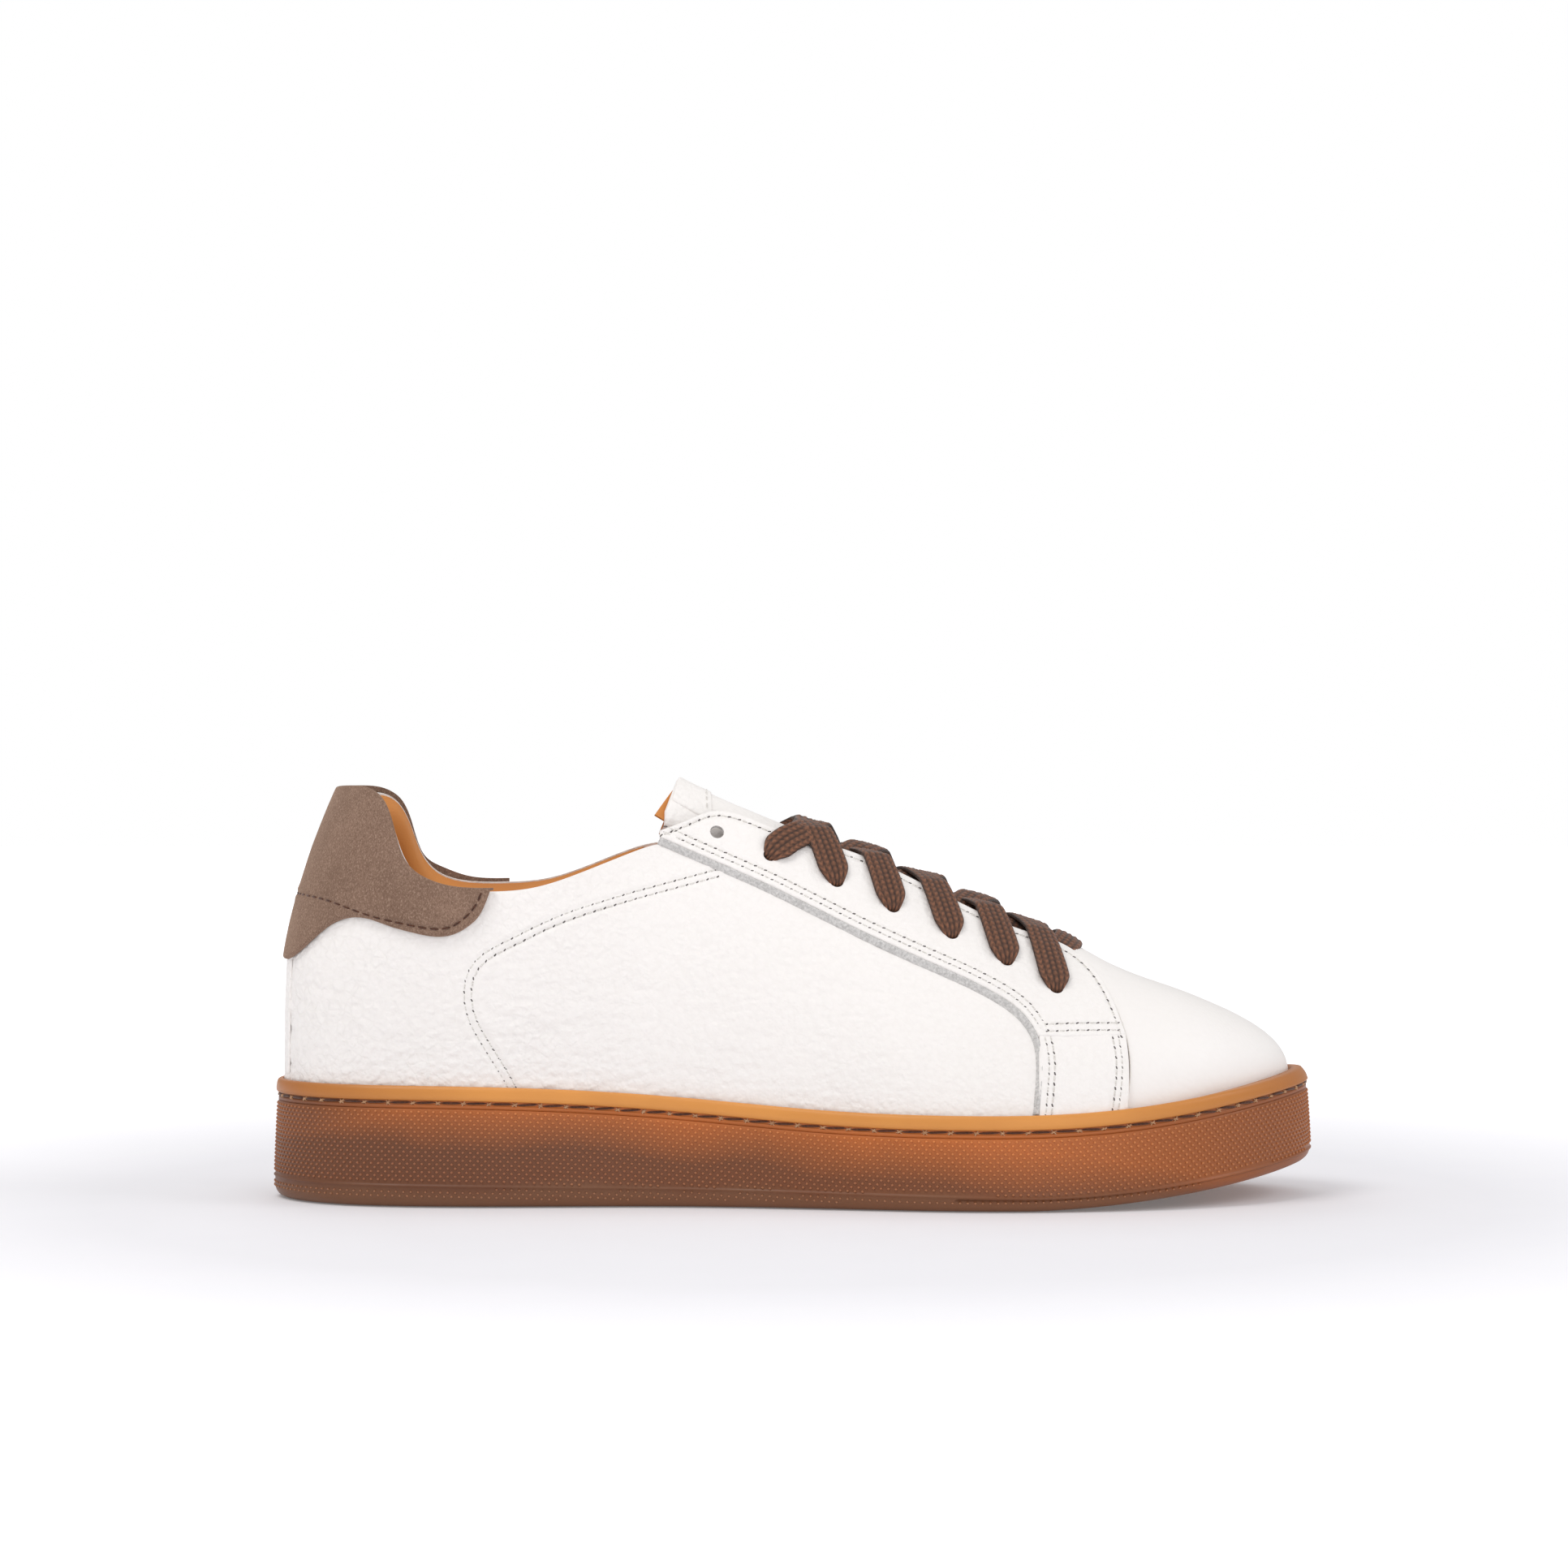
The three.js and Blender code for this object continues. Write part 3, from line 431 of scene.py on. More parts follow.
class Nodes:
    """Small builder for one material's node tree."""

    def __init__(self, name, roughness, **sockets):
        self.material = bpy.data.materials.new(name)
        self.material.use_nodes = True
        self.tree = self.material.node_tree
        self.shader = self.tree.nodes["Principled BSDF"]
        self.shader.inputs["Roughness"].default_value = roughness
        for socket, value in sockets.items():
            self.shader.inputs[socket.replace("_", " ")].default_value = value
        coordinates = self.tree.nodes.new("ShaderNodeTexCoord")
        self.place = coordinates.outputs["Object"]

    def fill(self, socket, value):
        """Links another node's output to a socket, or sets the socket's own value."""
        if isinstance(value, bpy.types.NodeSocket):
            self.tree.links.new(value, socket)
        else:
            socket.default_value = value

    def node(self, kind, inputs=(), **settings):
        node = self.tree.nodes.new("ShaderNode" + kind)
        for key, value in settings.items():
            setattr(node, key, value)
        for key, value in dict(inputs).items():
            self.fill(node.inputs[key], value)
        return node

    def noise(self, scale, detail=3.0, roughness=0.5, vector=None, output="Fac"):
        inputs = {"Vector": vector or self.place, "Scale": scale, "Detail": detail, "Roughness": roughness}
        return self.node("TexNoise", inputs).outputs[output]

    def cells(self, scale, vector=None, feature="SMOOTH_F1", smoothness=0.4):
        inputs = {"Vector": vector or self.place, "Scale": scale}
        if feature == "SMOOTH_F1":
            inputs["Smoothness"] = smoothness
        return self.node("TexVoronoi", inputs, feature=feature).outputs["Distance"]

    def stretch(self, factors, rotation=(0, 0, 0)):
        inputs = {"Vector": self.place, "Scale": factors, "Rotation": rotation}
        return self.node("Mapping", inputs).outputs["Vector"]

    def math(self, operation, a, b=0.0):
        return self.node("Math", {0: a, 1: b}, operation=operation).outputs[0]

    def times(self, a, b):
        return self.math("MULTIPLY", a, b)

    def plus(self, a, b):
        return self.math("ADD", a, b)

    def span(self, value, low, high, to_low=0.0, to_high=1.0):
        inputs = {"Value": value, "From Min": low, "From Max": high, "To Min": to_low, "To Max": to_high}
        return self.node("MapRange", inputs).outputs["Result"]

    def blend(self, factor, a, b):
        node = self.node("Mix", data_type="RGBA")
        for socket, value in zip((MIX_FACTOR, *MIX_COLORS), (factor, a, b)):
            self.fill(node.inputs[socket], value)
        return node.outputs[2]

    def bend(self, amount, scale):
        """Object coordinates pushed about by a soft noise."""
        node = self.node("Mix", {"Factor": amount}, data_type="VECTOR")
        self.fill(node.inputs[MIX_VECTORS[0]], self.place)
        self.fill(node.inputs[MIX_VECTORS[1]], self.noise(scale, 2.0, output="Color"))
        return node.outputs[1]

    def along(self, axis):
        """One object coordinate, in metres."""
        return self.node("SeparateXYZ", {"Vector": self.place}).outputs[axis]

    def finish(self, color, height=None, strength=0.3, distance=0.3, roughness=None):
        """Sets the colour, the bump (distance in millimetres) and the roughness, and returns the material."""
        self.fill(self.shader.inputs["Base Color"], color)
        if height is not None:
            inputs = {"Height": height, "Strength": strength, "Distance": distance * MM}
            self.fill(self.shader.inputs["Normal"], self.node("Bump", inputs).outputs["Normal"])
        if roughness is not None:
            self.fill(self.shader.inputs["Roughness"], roughness)
        return self.material


def pebbled_leather(name, color, shade, pebble=1.0, roughness=0.46):
    """Full-grain leather: rounded pebbles, fine pores between them and folds that deepen towards the heel."""
    n = Nodes(name, roughness, Specular_IOR_Level=0.42, Sheen_Weight=0.05)
    bent = n.bend(0.0012, 260.0)
    pebbles = n.span(n.cells(560, bent, smoothness=0.35), 0.05, 0.75, 1.0, 0.0)
    small = n.span(n.cells(1250, bent, smoothness=0.3), 0.05, 0.75, 1.0, 0.0)
    patches = n.span(n.noise(28, 2), 0.35, 0.65)
    relief = n.plus(n.times(pebbles, n.plus(n.times(patches, 0.7), 0.35)), n.times(small, 0.28))
    relief = n.plus(relief, n.times(n.noise(2600, 2), 0.10))
    folds = n.span(n.cells(330, bent, "DISTANCE_TO_EDGE"), 0.0, 0.16, 1.0, 0.0)
    towards_heel = n.span(n.noise(60, 3), 0.3, 0.7, 0.1, 0.9), n.span(n.along("X"), -0.02, -0.11, 0.15, 1.0)
    folds = n.times(folds, n.times(n.times(*towards_heel), pebble))
    relief = n.math("SUBTRACT", relief, n.times(folds, 0.7))
    hollow = n.span(pebbles, 0.0, 0.45)
    # Painted shade: the gaps between the pebbles are blended towards the shade colour.
    tint = n.blend(n.times(n.math("SUBTRACT", 1.0, hollow), 0.05 * pebble), color, shade)
    # The noise clouds are the hide's own uneven tone.
    tint = n.blend(n.times(n.span(n.noise(14, 4), 0.45, 0.75), 0.05), tint, shade)
    # Painted shade: the folds are blended towards the shade colour.
    tint = n.blend(n.times(folds, 0.1), tint, shade)
    uneven = n.span(n.noise(45, 3), 0.3, 0.7, -0.05, 0.05)
    rough = n.plus(uneven, n.span(hollow, 0, 1, roughness + 0.12, roughness))
    return n.finish(tint, relief, 0.5 * pebble, 0.4, rough)


def suede(name, color, dark, light):
    """Split leather with a brushed nap: light and dark fibres over soft clouds."""
    n = Nodes(name, 0.95, Specular_IOR_Level=0.15, Sheen_Weight=0.55, Sheen_Roughness=0.45,
              Sheen_Tint=linear(190, 165, 145))
    brushed = n.stretch((1.0, 1.0, 0.7), (0.3, 0.5, 0.2))
    nap = n.noise(2300, 3, 0.75, brushed)
    fibre = n.noise(4200, 2, 0.7, brushed)
    cloud = n.span(n.noise(55, 4, 0.6), 0.3, 0.72, 0.45, 1.0)
    tint = n.blend(cloud, dark, color)
    tint = n.blend(n.span(nap, 0.52, 0.7, 0.0, 0.55), tint, light)
    tint = n.blend(n.span(nap, 0.48, 0.32, 0.0, 0.7), tint, dark)
    tint = n.blend(n.span(fibre, 0.55, 0.7, 0.0, 0.4), tint, dark)
    return n.finish(tint, n.plus(n.times(nap, 0.8), n.times(fibre, 0.4)), 0.7, 0.4)


def smooth_leather(name, color, dark, roughness=0.6):
    """Lining leather with a fine, shallow grain."""
    n = Nodes(name, roughness, Specular_IOR_Level=0.35)
    grain = n.cells(1500)
    cloud = n.span(n.noise(24, 4), 0.3, 0.75)
    tint = n.blend(n.times(cloud, 0.55), color, dark)
    return n.finish(tint, n.plus(grain, n.times(n.noise(300, 3), 0.6)), 0.2, 0.2)


def thread(name, color, dark):
    """Thread whose plies show as slanting streaks."""
    n = Nodes(name, 0.72, Specular_IOR_Level=0.3, Sheen_Weight=0.3)
    twist = n.noise(1700, 2, 0.5, n.stretch((1.0, 1.0, 2.6), (0.4, 0.3, 0.5)))
    return n.finish(n.blend(n.span(twist, 0.35, 0.65), dark, color), twist, 0.5, 0.2)


def gum_rubber(name, warm, deep, rim):
    """Gum rubber: orange brown above, darker and greyer towards the ground; the heel and toe ends are
    darkened with painted shade, where the light falls off round them.
    """
    n = Nodes(name, 0.42, Specular_IOR_Level=0.4, Coat_Weight=0.06, Coat_Roughness=0.35)
    x = n.along("X")
    z = n.plus(n.along("Z"), n.span(n.noise(22, 3), 0.2, 0.8, -0.004, 0.004))
    limit = n.span(n.span(x, -0.11, 0.085), 0, 1, 0.031, 0.0185)
    low = n.math("SUBTRACT", limit, 0.0135)
    shade = n.span(z, low, limit)
    dark = n.times(n.math("SUBTRACT", 1.0, shade), n.span(x, -0.10, 0.14, 1.0, 0.8))
    # Painted shade: darker towards the toe and heel ends, where the light falls off round the sole.
    for start, end, darkest in ((0.06, 0.135, 0.66), (-0.095, -0.137, 0.85)):
        dark = n.math("MAXIMUM", dark, n.span(x, start, end, 0.0, darkest))
    tint = n.blend(dark, warm, deep)
    tint = n.blend(n.times(n.span(z, 0.0035, 0.0065, 1.0, 0.0), 0.55), tint, rim)
    tint = n.blend(n.span(n.noise(900, 3), 0.55, 0.8, 0.0, 0.14), tint, rim)
    return n.finish(tint, n.noise(1400, 3), 0.12, 0.12, n.span(n.noise(60, 3), 0.3, 0.7, 0.36, 0.52))


def plain_rubber(name, color, dark):
    """Smooth rubber, darker towards the heel and toe ends with painted shade, where the light falls off round
    them.
    """
    n = Nodes(name, 0.4, Specular_IOR_Level=0.4)
    cloud = n.span(n.noise(30, 4), 0.35, 0.7)
    ends = n.span(n.math("ABSOLUTE", n.along("X")), 0.085, 0.143)
    tint = n.blend(n.times(cloud, 0.25), color, dark)
    # Painted shade towards the heel and toe ends.
    tint = n.blend(ends, tint, dark)
    return n.finish(tint, n.noise(1100, 3), 0.12, 0.12)


def fibrous(name, color, dark, scale=700, strength=0.4):
    """Matt, fluffy stuff: cut leather edges, foam, board and loose thread."""
    n = Nodes(name, 0.92, Specular_IOR_Level=0.15, Sheen_Weight=0.2)
    fluff = n.noise(scale, 5, 0.7)
    tint = n.blend(n.span(fluff, 0.35, 0.65), dark, color)
    return n.finish(tint, fluff, strength, 0.3)


def brushed_steel(name):
    n = Nodes(name, 0.35, Metallic=1.0)
    lines = n.noise(300, 3, 0.5, n.stretch((0.1, 4.0, 4.0)))
    tint = n.blend(lines, linear(150, 152, 156), linear(185, 188, 192))
    return n.finish(tint, lines, 0.1, 0.1)


WHITE, WHITE_SHADE = linear(250, 246, 243), linear(208, 200, 192)
white_leather = pebbled_leather("white_pebbled_leather", WHITE, WHITE_SHADE)
toe_leather = pebbled_leather("white_toe_leather", WHITE, WHITE_SHADE, pebble=0.35, roughness=0.42)
suede_taupe = suede("taupe_suede", linear(148, 120, 103), linear(104, 80, 66), linear(196, 168, 148))
tan_lining = smooth_leather("tan_lining", linear(220, 147, 76), linear(182, 108, 50))
cut_edge = fibrous("grey_cut_edge", linear(224, 222, 220), linear(182, 180, 178), 1300)
pale_edge = fibrous("pale_cut_edge", linear(234, 228, 220), linear(206, 197, 187), 1300)
hole_shadow = fibrous("needle_hole_shadow", linear(122, 116, 114), linear(86, 82, 80), 1300)
sole_gum = gum_rubber("brown_gum_rubber", linear(192, 106, 46), linear(112, 67, 40), linear(124, 84, 56))
# A lighter copy of the sole's gum for the studs: painted highlight on the studs.
stud_highlight_gum = gum_rubber("brown_gum_studs_painted_highlight", linear(222, 138, 76), linear(160, 104, 72), linear(168, 120, 88))
welt_gum = plain_rubber("tan_welt_rubber", linear(228, 154, 76), linear(178, 110, 50))
pale_thread = thread("white_thread", linear(240, 237, 232), linear(206, 201, 195))
dark_thread = thread("brown_waxed_thread", linear(98, 54, 30), linear(52, 28, 16))
fuzzy_thread = fibrous("pale_knot_thread", linear(216, 176, 138), linear(160, 114, 80), 2200)


def braided(name, color, dark):
    """Cotton braid: the mesh's own weave attribute darkens the gaps between the plaited yarns, a painted
    shade in the braid's hollows.
    """
    n = Nodes(name, 0.6, Specular_IOR_Level=0.4, Sheen_Weight=0.12)
    weave = n.node("Attribute", attribute_name="weave").outputs["Fac"]
    yarn = n.noise(2200, 2)
    # Painted shade in the low places of the weave.
    tint = n.blend(n.span(weave, 0.14, 0.95), dark, color)
    tint = n.blend(n.span(yarn, 0.4, 0.7, 0.0, 0.35), tint, dark)
    return n.finish(tint, yarn, 0.4, 0.2)


lace_cotton = braided("brown_lace_cotton", linear(140, 90, 62), linear(44, 26, 17))
foam_cream = fibrous("cream_foam", linear(232, 219, 188), linear(196, 180, 146), 900)
fibre_board = fibrous("fibre_board", linear(186, 156, 114), linear(150, 120, 82), 500)
shank_steel = brushed_steel("shank_steel")


# ---------------------------------------------------------------- camera, light and floor

scene = bpy.context.scene
scene.view_settings.view_transform = "Standard"


CAMERA_PLACE, SENSOR_WIDTH, FOCAL_LENGTH = (-0.003, -1.1, 0.1186), 36, 87.17
LIGHT_TARGET, FLOOR_HALF, FLOOR_DROP = (0, 0, 0.05), 6.0, 0.0002
LIGHTS = [  # name, place in metres, size, power, tint
    ("key_top_left", (-0.5, -0.45, 1.2), 0.6, 5.3, (1, 0.985, 0.965)),
    ("fill_front", (0.4, -1.3, 0.5), 0.9, 2.2, (1, 1, 1)),
    ("rim_right", (0.95, -0.25, 0.75), 0.5, 2.0, (0.97, 0.98, 1)),
    ("rim_back", (-0.3, 1.1, 0.85), 0.7, 1.6, (1, 1, 1)),
]


def add_camera():
    """Level camera on the lateral side, as far off and as high as the photograph's."""
    lens = bpy.data.cameras.new("camera")
    lens.sensor_width, lens.lens = SENSOR_WIDTH, FOCAL_LENGTH
    lens.clip_start = 0.05
    camera = bpy.data.objects.new("camera", lens)
    scene.collection.objects.link(camera)
    camera.location = CAMERA_PLACE
    camera.rotation_euler = (math.radians(90), 0, 0)
    scene.camera = camera


def add_area(name, place, size, power, tint):
    light = bpy.data.lights.new(name, "AREA")
    light.shape, light.size, light.energy, light.color = "SQUARE", size, power, tint
    lamp = bpy.data.objects.new(name, light)
    scene.collection.objects.link(lamp)
    lamp.location = place
    lamp.rotation_euler = (Vector(LIGHT_TARGET) - Vector(place)).to_track_quat("-Z", "Y").to_euler()


def add_world():
    """White backdrop that lights the shoe at about half the brightness the camera sees."""
    world = bpy.data.worlds.new("studio")
    scene.world = world
    world.use_nodes = True
    tree = world.node_tree
    background = tree.nodes["Background"]
    background.inputs["Color"].default_value = (1, 1, 1, 1)
    path = tree.nodes.new("ShaderNodeLightPath")
    strength = tree.nodes.new("ShaderNodeMapRange")
    strength.inputs["To Min"].default_value = 0.55
    strength.inputs["To Max"].default_value = 1.0
    tree.links.new(path.outputs["Is Camera Ray"], strength.inputs["Value"])
    tree.links.new(strength.outputs["Result"], background.inputs["Strength"])


def add_floor():
    """Pale paper that glows more the further it is from the shoe, so that it runs into the white backdrop."""
    n = Nodes("floor_paper", 0.85, Emission_Color=(1, 1, 1, 1))
    reach = n.node("VectorMath", {0: n.place}, operation="LENGTH").outputs["Value"]
    n.fill(n.shader.inputs["Emission Strength"], n.span(reach, 0.2, 0.6, 0.13, 0.74))
    paper = n.finish(n.blend(n.noise(40, 3), linear(232, 231, 236), linear(229, 228, 233)))
    half = FLOOR_HALF / MM
    corners = [(-half, -half, 0), (half, -half, 0), (half, half, 0), (-half, half, 0)]
    floor = bpy.data.objects.new("floor", mesh_data("floor", corners, [(0, 1, 2, 3)], paper))
    scene.collection.objects.link(floor)
    floor.location.z = -FLOOR_DROP


add_camera()
add_world()
for light_row in LIGHTS:
    add_area(*light_row)
add_floor()

# ---------------------------------------------------------------- sole

WELT_HEIGHT, STITCH_BAND = 4, 1.4
STITCH_TOP = -WELT_HEIGHT - GAP
STITCH_BOTTOM = STITCH_TOP - STITCH_BAND
CUP_TOP = STITCH_BOTTOM - GAP
CUP_FLOOR, CORNER, RIM_INSET, WALL_CLEARANCE = 5, 3.5, 1, 0.8
PARTING_HEEL, PARTING_TOE = 6.2, 3.4
SOLE_COLUMNS, CUP_BEVEL = 760, 0.3
PARTING_BEAD = [(-0.7, 0), (-0.35, 0.12), (-0.12, 0.42), (0.12, 0.42), (0.35, 0.12), (0.7, 0)]


def arc_turns(count):
    """Turns that stand evenly spaced along the sole's edge, and the edge's length."""
    t = np.linspace(0, 1, 4001)
    run = run_along(np.stack(edge(t), -1))
    return np.interp(np.arange(count) / count * run[-1], run, t), run[-1]


def pitched_turns(pitch):
    """Turns about one pitch apart along the sole's edge, and the turns halfway between them."""
    count = int(arc_turns(4)[1] / pitch)
    return arc_turns(count)[0], arc_turns(2 * count)[0][1::2]


def ring(turns, inset, z):
    """Points round the sole at height z, moved in from its outline."""
    x, y = edge(turns, inset)
    return np.stack([x, y, np.broadcast_to(z, x.shape)], -1)


def wall_inset(x, z):
    """Inset of the sole's side at height z: rounded bottom corner, then leaning in to the welt."""
    bottom = sole_bottom(x)
    top = sole_top(x) + CUP_TOP
    corner = np.clip(1 - (z - bottom) / CORNER, 0, 1)
    lean = RIM_INSET * np.clip((z - bottom - CORNER) / (top - bottom - CORNER), 0, 1) ** 1.3
    return CORNER * (1 - np.sqrt(np.maximum(0, 1 - corner ** 2))) * 0.9 + lean


def wall_ring(turns, z):
    return ring(turns, wall_inset(edge(turns)[0], z), z)


def inner_wall(x):
    """Inset of the inner face of the sole's wall and of the welt."""
    return margin(x) - WALL_CLEARANCE


def parting(x):
    """Height of the mould's parting line on the side."""
    return sole_bottom(x) + mix(PARTING_HEEL, PARTING_TOE, smoothstep(-150, 150, x))


def tube_rings(name, rings, capped, material, slot, flip=False, **options):
    """Closed body through rings of equal count; capped across at both ends, or joined into a torus."""
    count = len(rings[0])
    points = np.concatenate(rings)
    faces = []
    total = len(rings)
    for k in range(total - 1 if capped else total):
        a, b = k * count, (k + 1) % total * count
        for i in range(count):
            j = (i + 1) % count
            faces.append((a + i, a + j, b + j, b + i))
    if capped:
        for base, turn in ((0, -1), ((total - 1) * count, 1)):
            half = count // 2
            for i in range(half):
                quad = [base + i, base + i + 1, base + (count - i - 1) % count, base + (count - i) % count]
                quad = list(dict.fromkeys(quad))
                if len(quad) > 2:
                    faces.append(tuple(quad[::turn]))
    return new_mesh(name, points, [f[::-1] for f in faces] if flip else faces, material, slot, **options)


def build_sole_wall():
    turns, _ = arc_turns(SOLE_COLUMNS)
    x = edge(turns)[0]
    bottom, top, line, inside = sole_bottom(x), sole_top(x) + CUP_TOP, parting(x), inner_wall(x)
    rings = [ring(turns, inset, bottom) for inset in (30, 22, 14, 8)]
    corner_angles = np.linspace(0, 1, 7) * math.pi / 2
    rings += [wall_ring(turns, bottom + CORNER * (1 - math.cos(angle))) for angle in corner_angles]
    for height, swell in PARTING_BEAD:
        z = np.maximum(line + height, bottom + CORNER * 0.9)
        rings.append(ring(turns, wall_inset(x, z) - swell, z))
    side_low, side_high = line + PARTING_BEAD[-1][0], top - CUP_BEVEL
    rings += [wall_ring(turns, mix(side_low, side_high, k)) for k in np.linspace(0, 1, 14)[1:]]
    rings.append(ring(turns, wall_inset(x, top) + 0.25, top))
    rings.append(ring(turns, inside - CUP_BEVEL, top))
    rings += [ring(turns, inside, mix(side_high, bottom + CUP_FLOOR, k)) for k in (0, 0.3, 0.7, 1)]
    tube_rings("sole_wall", rings, True, sole_gum, "sole_rubber", replaces=("outsole_cup",))


def stud_mesh(sides=6):
    """Unit stud: rounded low cone of radius 1 and height 1, open at the bottom."""
    points, faces = [], []
    for radius, height in ((1.0, -0.2), (0.62, 0.72)):
        for i in range(sides):
            angle = 2 * math.pi * (i + 0.5) / sides
            points.append((radius * math.cos(angle), radius * math.sin(angle), height))
    points.append((0, 0, 1))
    for i in range(sides):
        j = (i + 1) % sides
        faces.append((i, j, sides + j, sides + i))
        faces.append((sides + i, sides + j, 2 * sides))
    faces.append(tuple(range(sides - 1, -1, -1)))
    return np.array(points), faces


def scatter(unit_mesh, placed):
    """Copies of a unit mesh: placed holds (origin, u, v, n) arrays with their scales included."""
    points, faces = unit_mesh
    all_points = placed[0][:, None] + sum(points[None, :, i, None] * placed[i + 1][:, None] for i in range(3))
    size = len(points)
    all_faces = [tuple(i + k * size for i in f) for k in range(len(placed[0])) for f in faces]
    return all_points.reshape(-1, 3), all_faces


def join(groups):
    """One set of (origin, u, v, n) arrays out of several."""
    return tuple(np.concatenate([g[i] for g in groups]) for i in range(4))


STUD_PITCH, STUD_ROW, STUD_ROWS, STUD_START = 2.1, 1.12, 30, 1.0
STUD_WIDE, STUD_HIGH, STUD_DEEP, LOW_STUD_SIZE = 0.5, 0.44, 0.5, 0.8
CLEAR_OF_GROUND, CLEAR_OF_PARTING = 2.2, 0.75


def wall_frame(turns, z):
    """Origins, horizontal and upward tangents, and outward normals on the sole's side."""
    u = unit(wall_ring(turns + TURN_STEP, z) - wall_ring(turns - TURN_STEP, z))
    v = unit(wall_ring(turns, z + 0.1) - wall_ring(turns, z - 0.1))
    return wall_ring(turns, z), u, v, np.cross(u, v)


def build_studs():
    """Staggered rows of small studs down the side, left out near the ground and at the parting line."""
    row_turns = pitched_turns(STUD_PITCH)
    turns, heights = [], []
    for row in range(STUD_ROWS):
        t = row_turns[row % 2]
        x = edge(t)[0]
        z = sole_top(x) + CUP_TOP - STUD_START - row * STUD_ROW
        keep = (z > sole_bottom(x) + CLEAR_OF_GROUND) & (np.abs(z - parting(x)) > CLEAR_OF_PARTING)
        turns.append(t[keep])
        heights.append(z[keep])
    turns, heights = np.concatenate(turns), np.concatenate(heights)
    origin, u, v, n = wall_frame(turns, heights)
    size = np.where(heights < parting(edge(turns)[0]), LOW_STUD_SIZE, 1.0)[:, None]
    placed = (origin, u * STUD_WIDE * size, v * STUD_HIGH * size, n * STUD_DEEP * size)
    new_mesh("sidewall_studs", *scatter(stud_mesh(), placed), stud_highlight_gum, "sole_rubber")


WELT_PROFILE = [  # inset beyond the rim, height below the welt's top, extra fall and tuck at the toe
    (0.15, -WELT_HEIGHT, 0, 0), (-0.35, -WELT_HEIGHT + 0.12, 0, 0), (-0.62, -WELT_HEIGHT + 0.6, 0.3, 0.1),
    (-0.66, -WELT_HEIGHT + 1.3, 0.9, 0.2), (-0.5, -1.5, 1.4, 0.3), (-0.36, -0.9, 1.5, 0.35),
    (-0.1, -0.4, 1.5, 0.35), (0.35, -0.08, 1.3, 0.3), (0.9, 0.02, 0.9, 0.15), (1.4, -0.12, 0.4, 0),
]


def build_welt():
    turns, _ = arc_turns(SOLE_COLUMNS)
    x = edge(turns)[0]
    top, toe = sole_top(x), smoothstep(118, 149, x)
    rings = [ring(turns, RIM_INSET + inset + tuck * toe, top + lift - fall * toe)
             for inset, lift, fall, tuck in WELT_PROFILE]
    rings += [ring(turns, inner_wall(x), top + lift) for lift in (-0.5, -WELT_HEIGHT)]
    tube_rings("welt", rings, False, welt_gum, "welt_rubber", replaces=("welt_strip",))


def capsule(sides=8, rings=7):
    """Unit thread stitch along x from -1 to 1 with rounded, sunk ends; radius 1 in y and z."""
    points, faces = [], []
    for i in range(rings):
        k = i / (rings - 1) * 2 - 1
        radius = math.sqrt(max(0.02, 1 - abs(k) ** 4))
        for j in range(sides):
            angle = 2 * math.pi * j / sides
            points.append((k, radius * math.cos(angle), radius * math.sin(angle) - 0.9 * k ** 4))
    for i in range(rings - 1):
        for j in range(sides):
            a, b = i * sides, (i + 1) * sides
            faces.append((a + j, a + (j + 1) % sides, b + (j + 1) % sides, b + j))
    faces.append(tuple(range(sides - 1, -1, -1)))
    faces.append(tuple((rings - 1) * sides + j for j in range(sides)))
    return np.array(points), faces


SOLE_STITCH_PITCH, SOLE_STITCH_LENGTH, SOLE_THREAD = 7.2, 6.2, 0.29
KNOT_SEED, KNOT_LEANS, KNOT_WIDE, KNOT_DEEP = 11, (1.2, -0.7, 0.25), 0.17, 0.34
GROOVE_PROFILE = [  # inset beyond the rim, height from the welt's top
    (0.0, CUP_TOP + 0.02), (0.02, CUP_TOP + 0.75), (0.1, CUP_TOP + 0.95), (0.3, CUP_TOP + 1.05),
    (0.4, STITCH_TOP - 0.3), (0.34, STITCH_TOP + GAP - 0.12), (0.3, STITCH_TOP + GAP - 0.02),
]


def groove_frame(turns, inset, lift):
    """Origins in the stitch groove, with the tangents and normals of the wall below it."""
    top = sole_top(edge(turns)[0])
    _, u, v, n = wall_frame(turns, top + CUP_TOP - 0.3)
    return ring(turns, RIM_INSET + inset, top + STITCH_TOP + lift), u, v, n


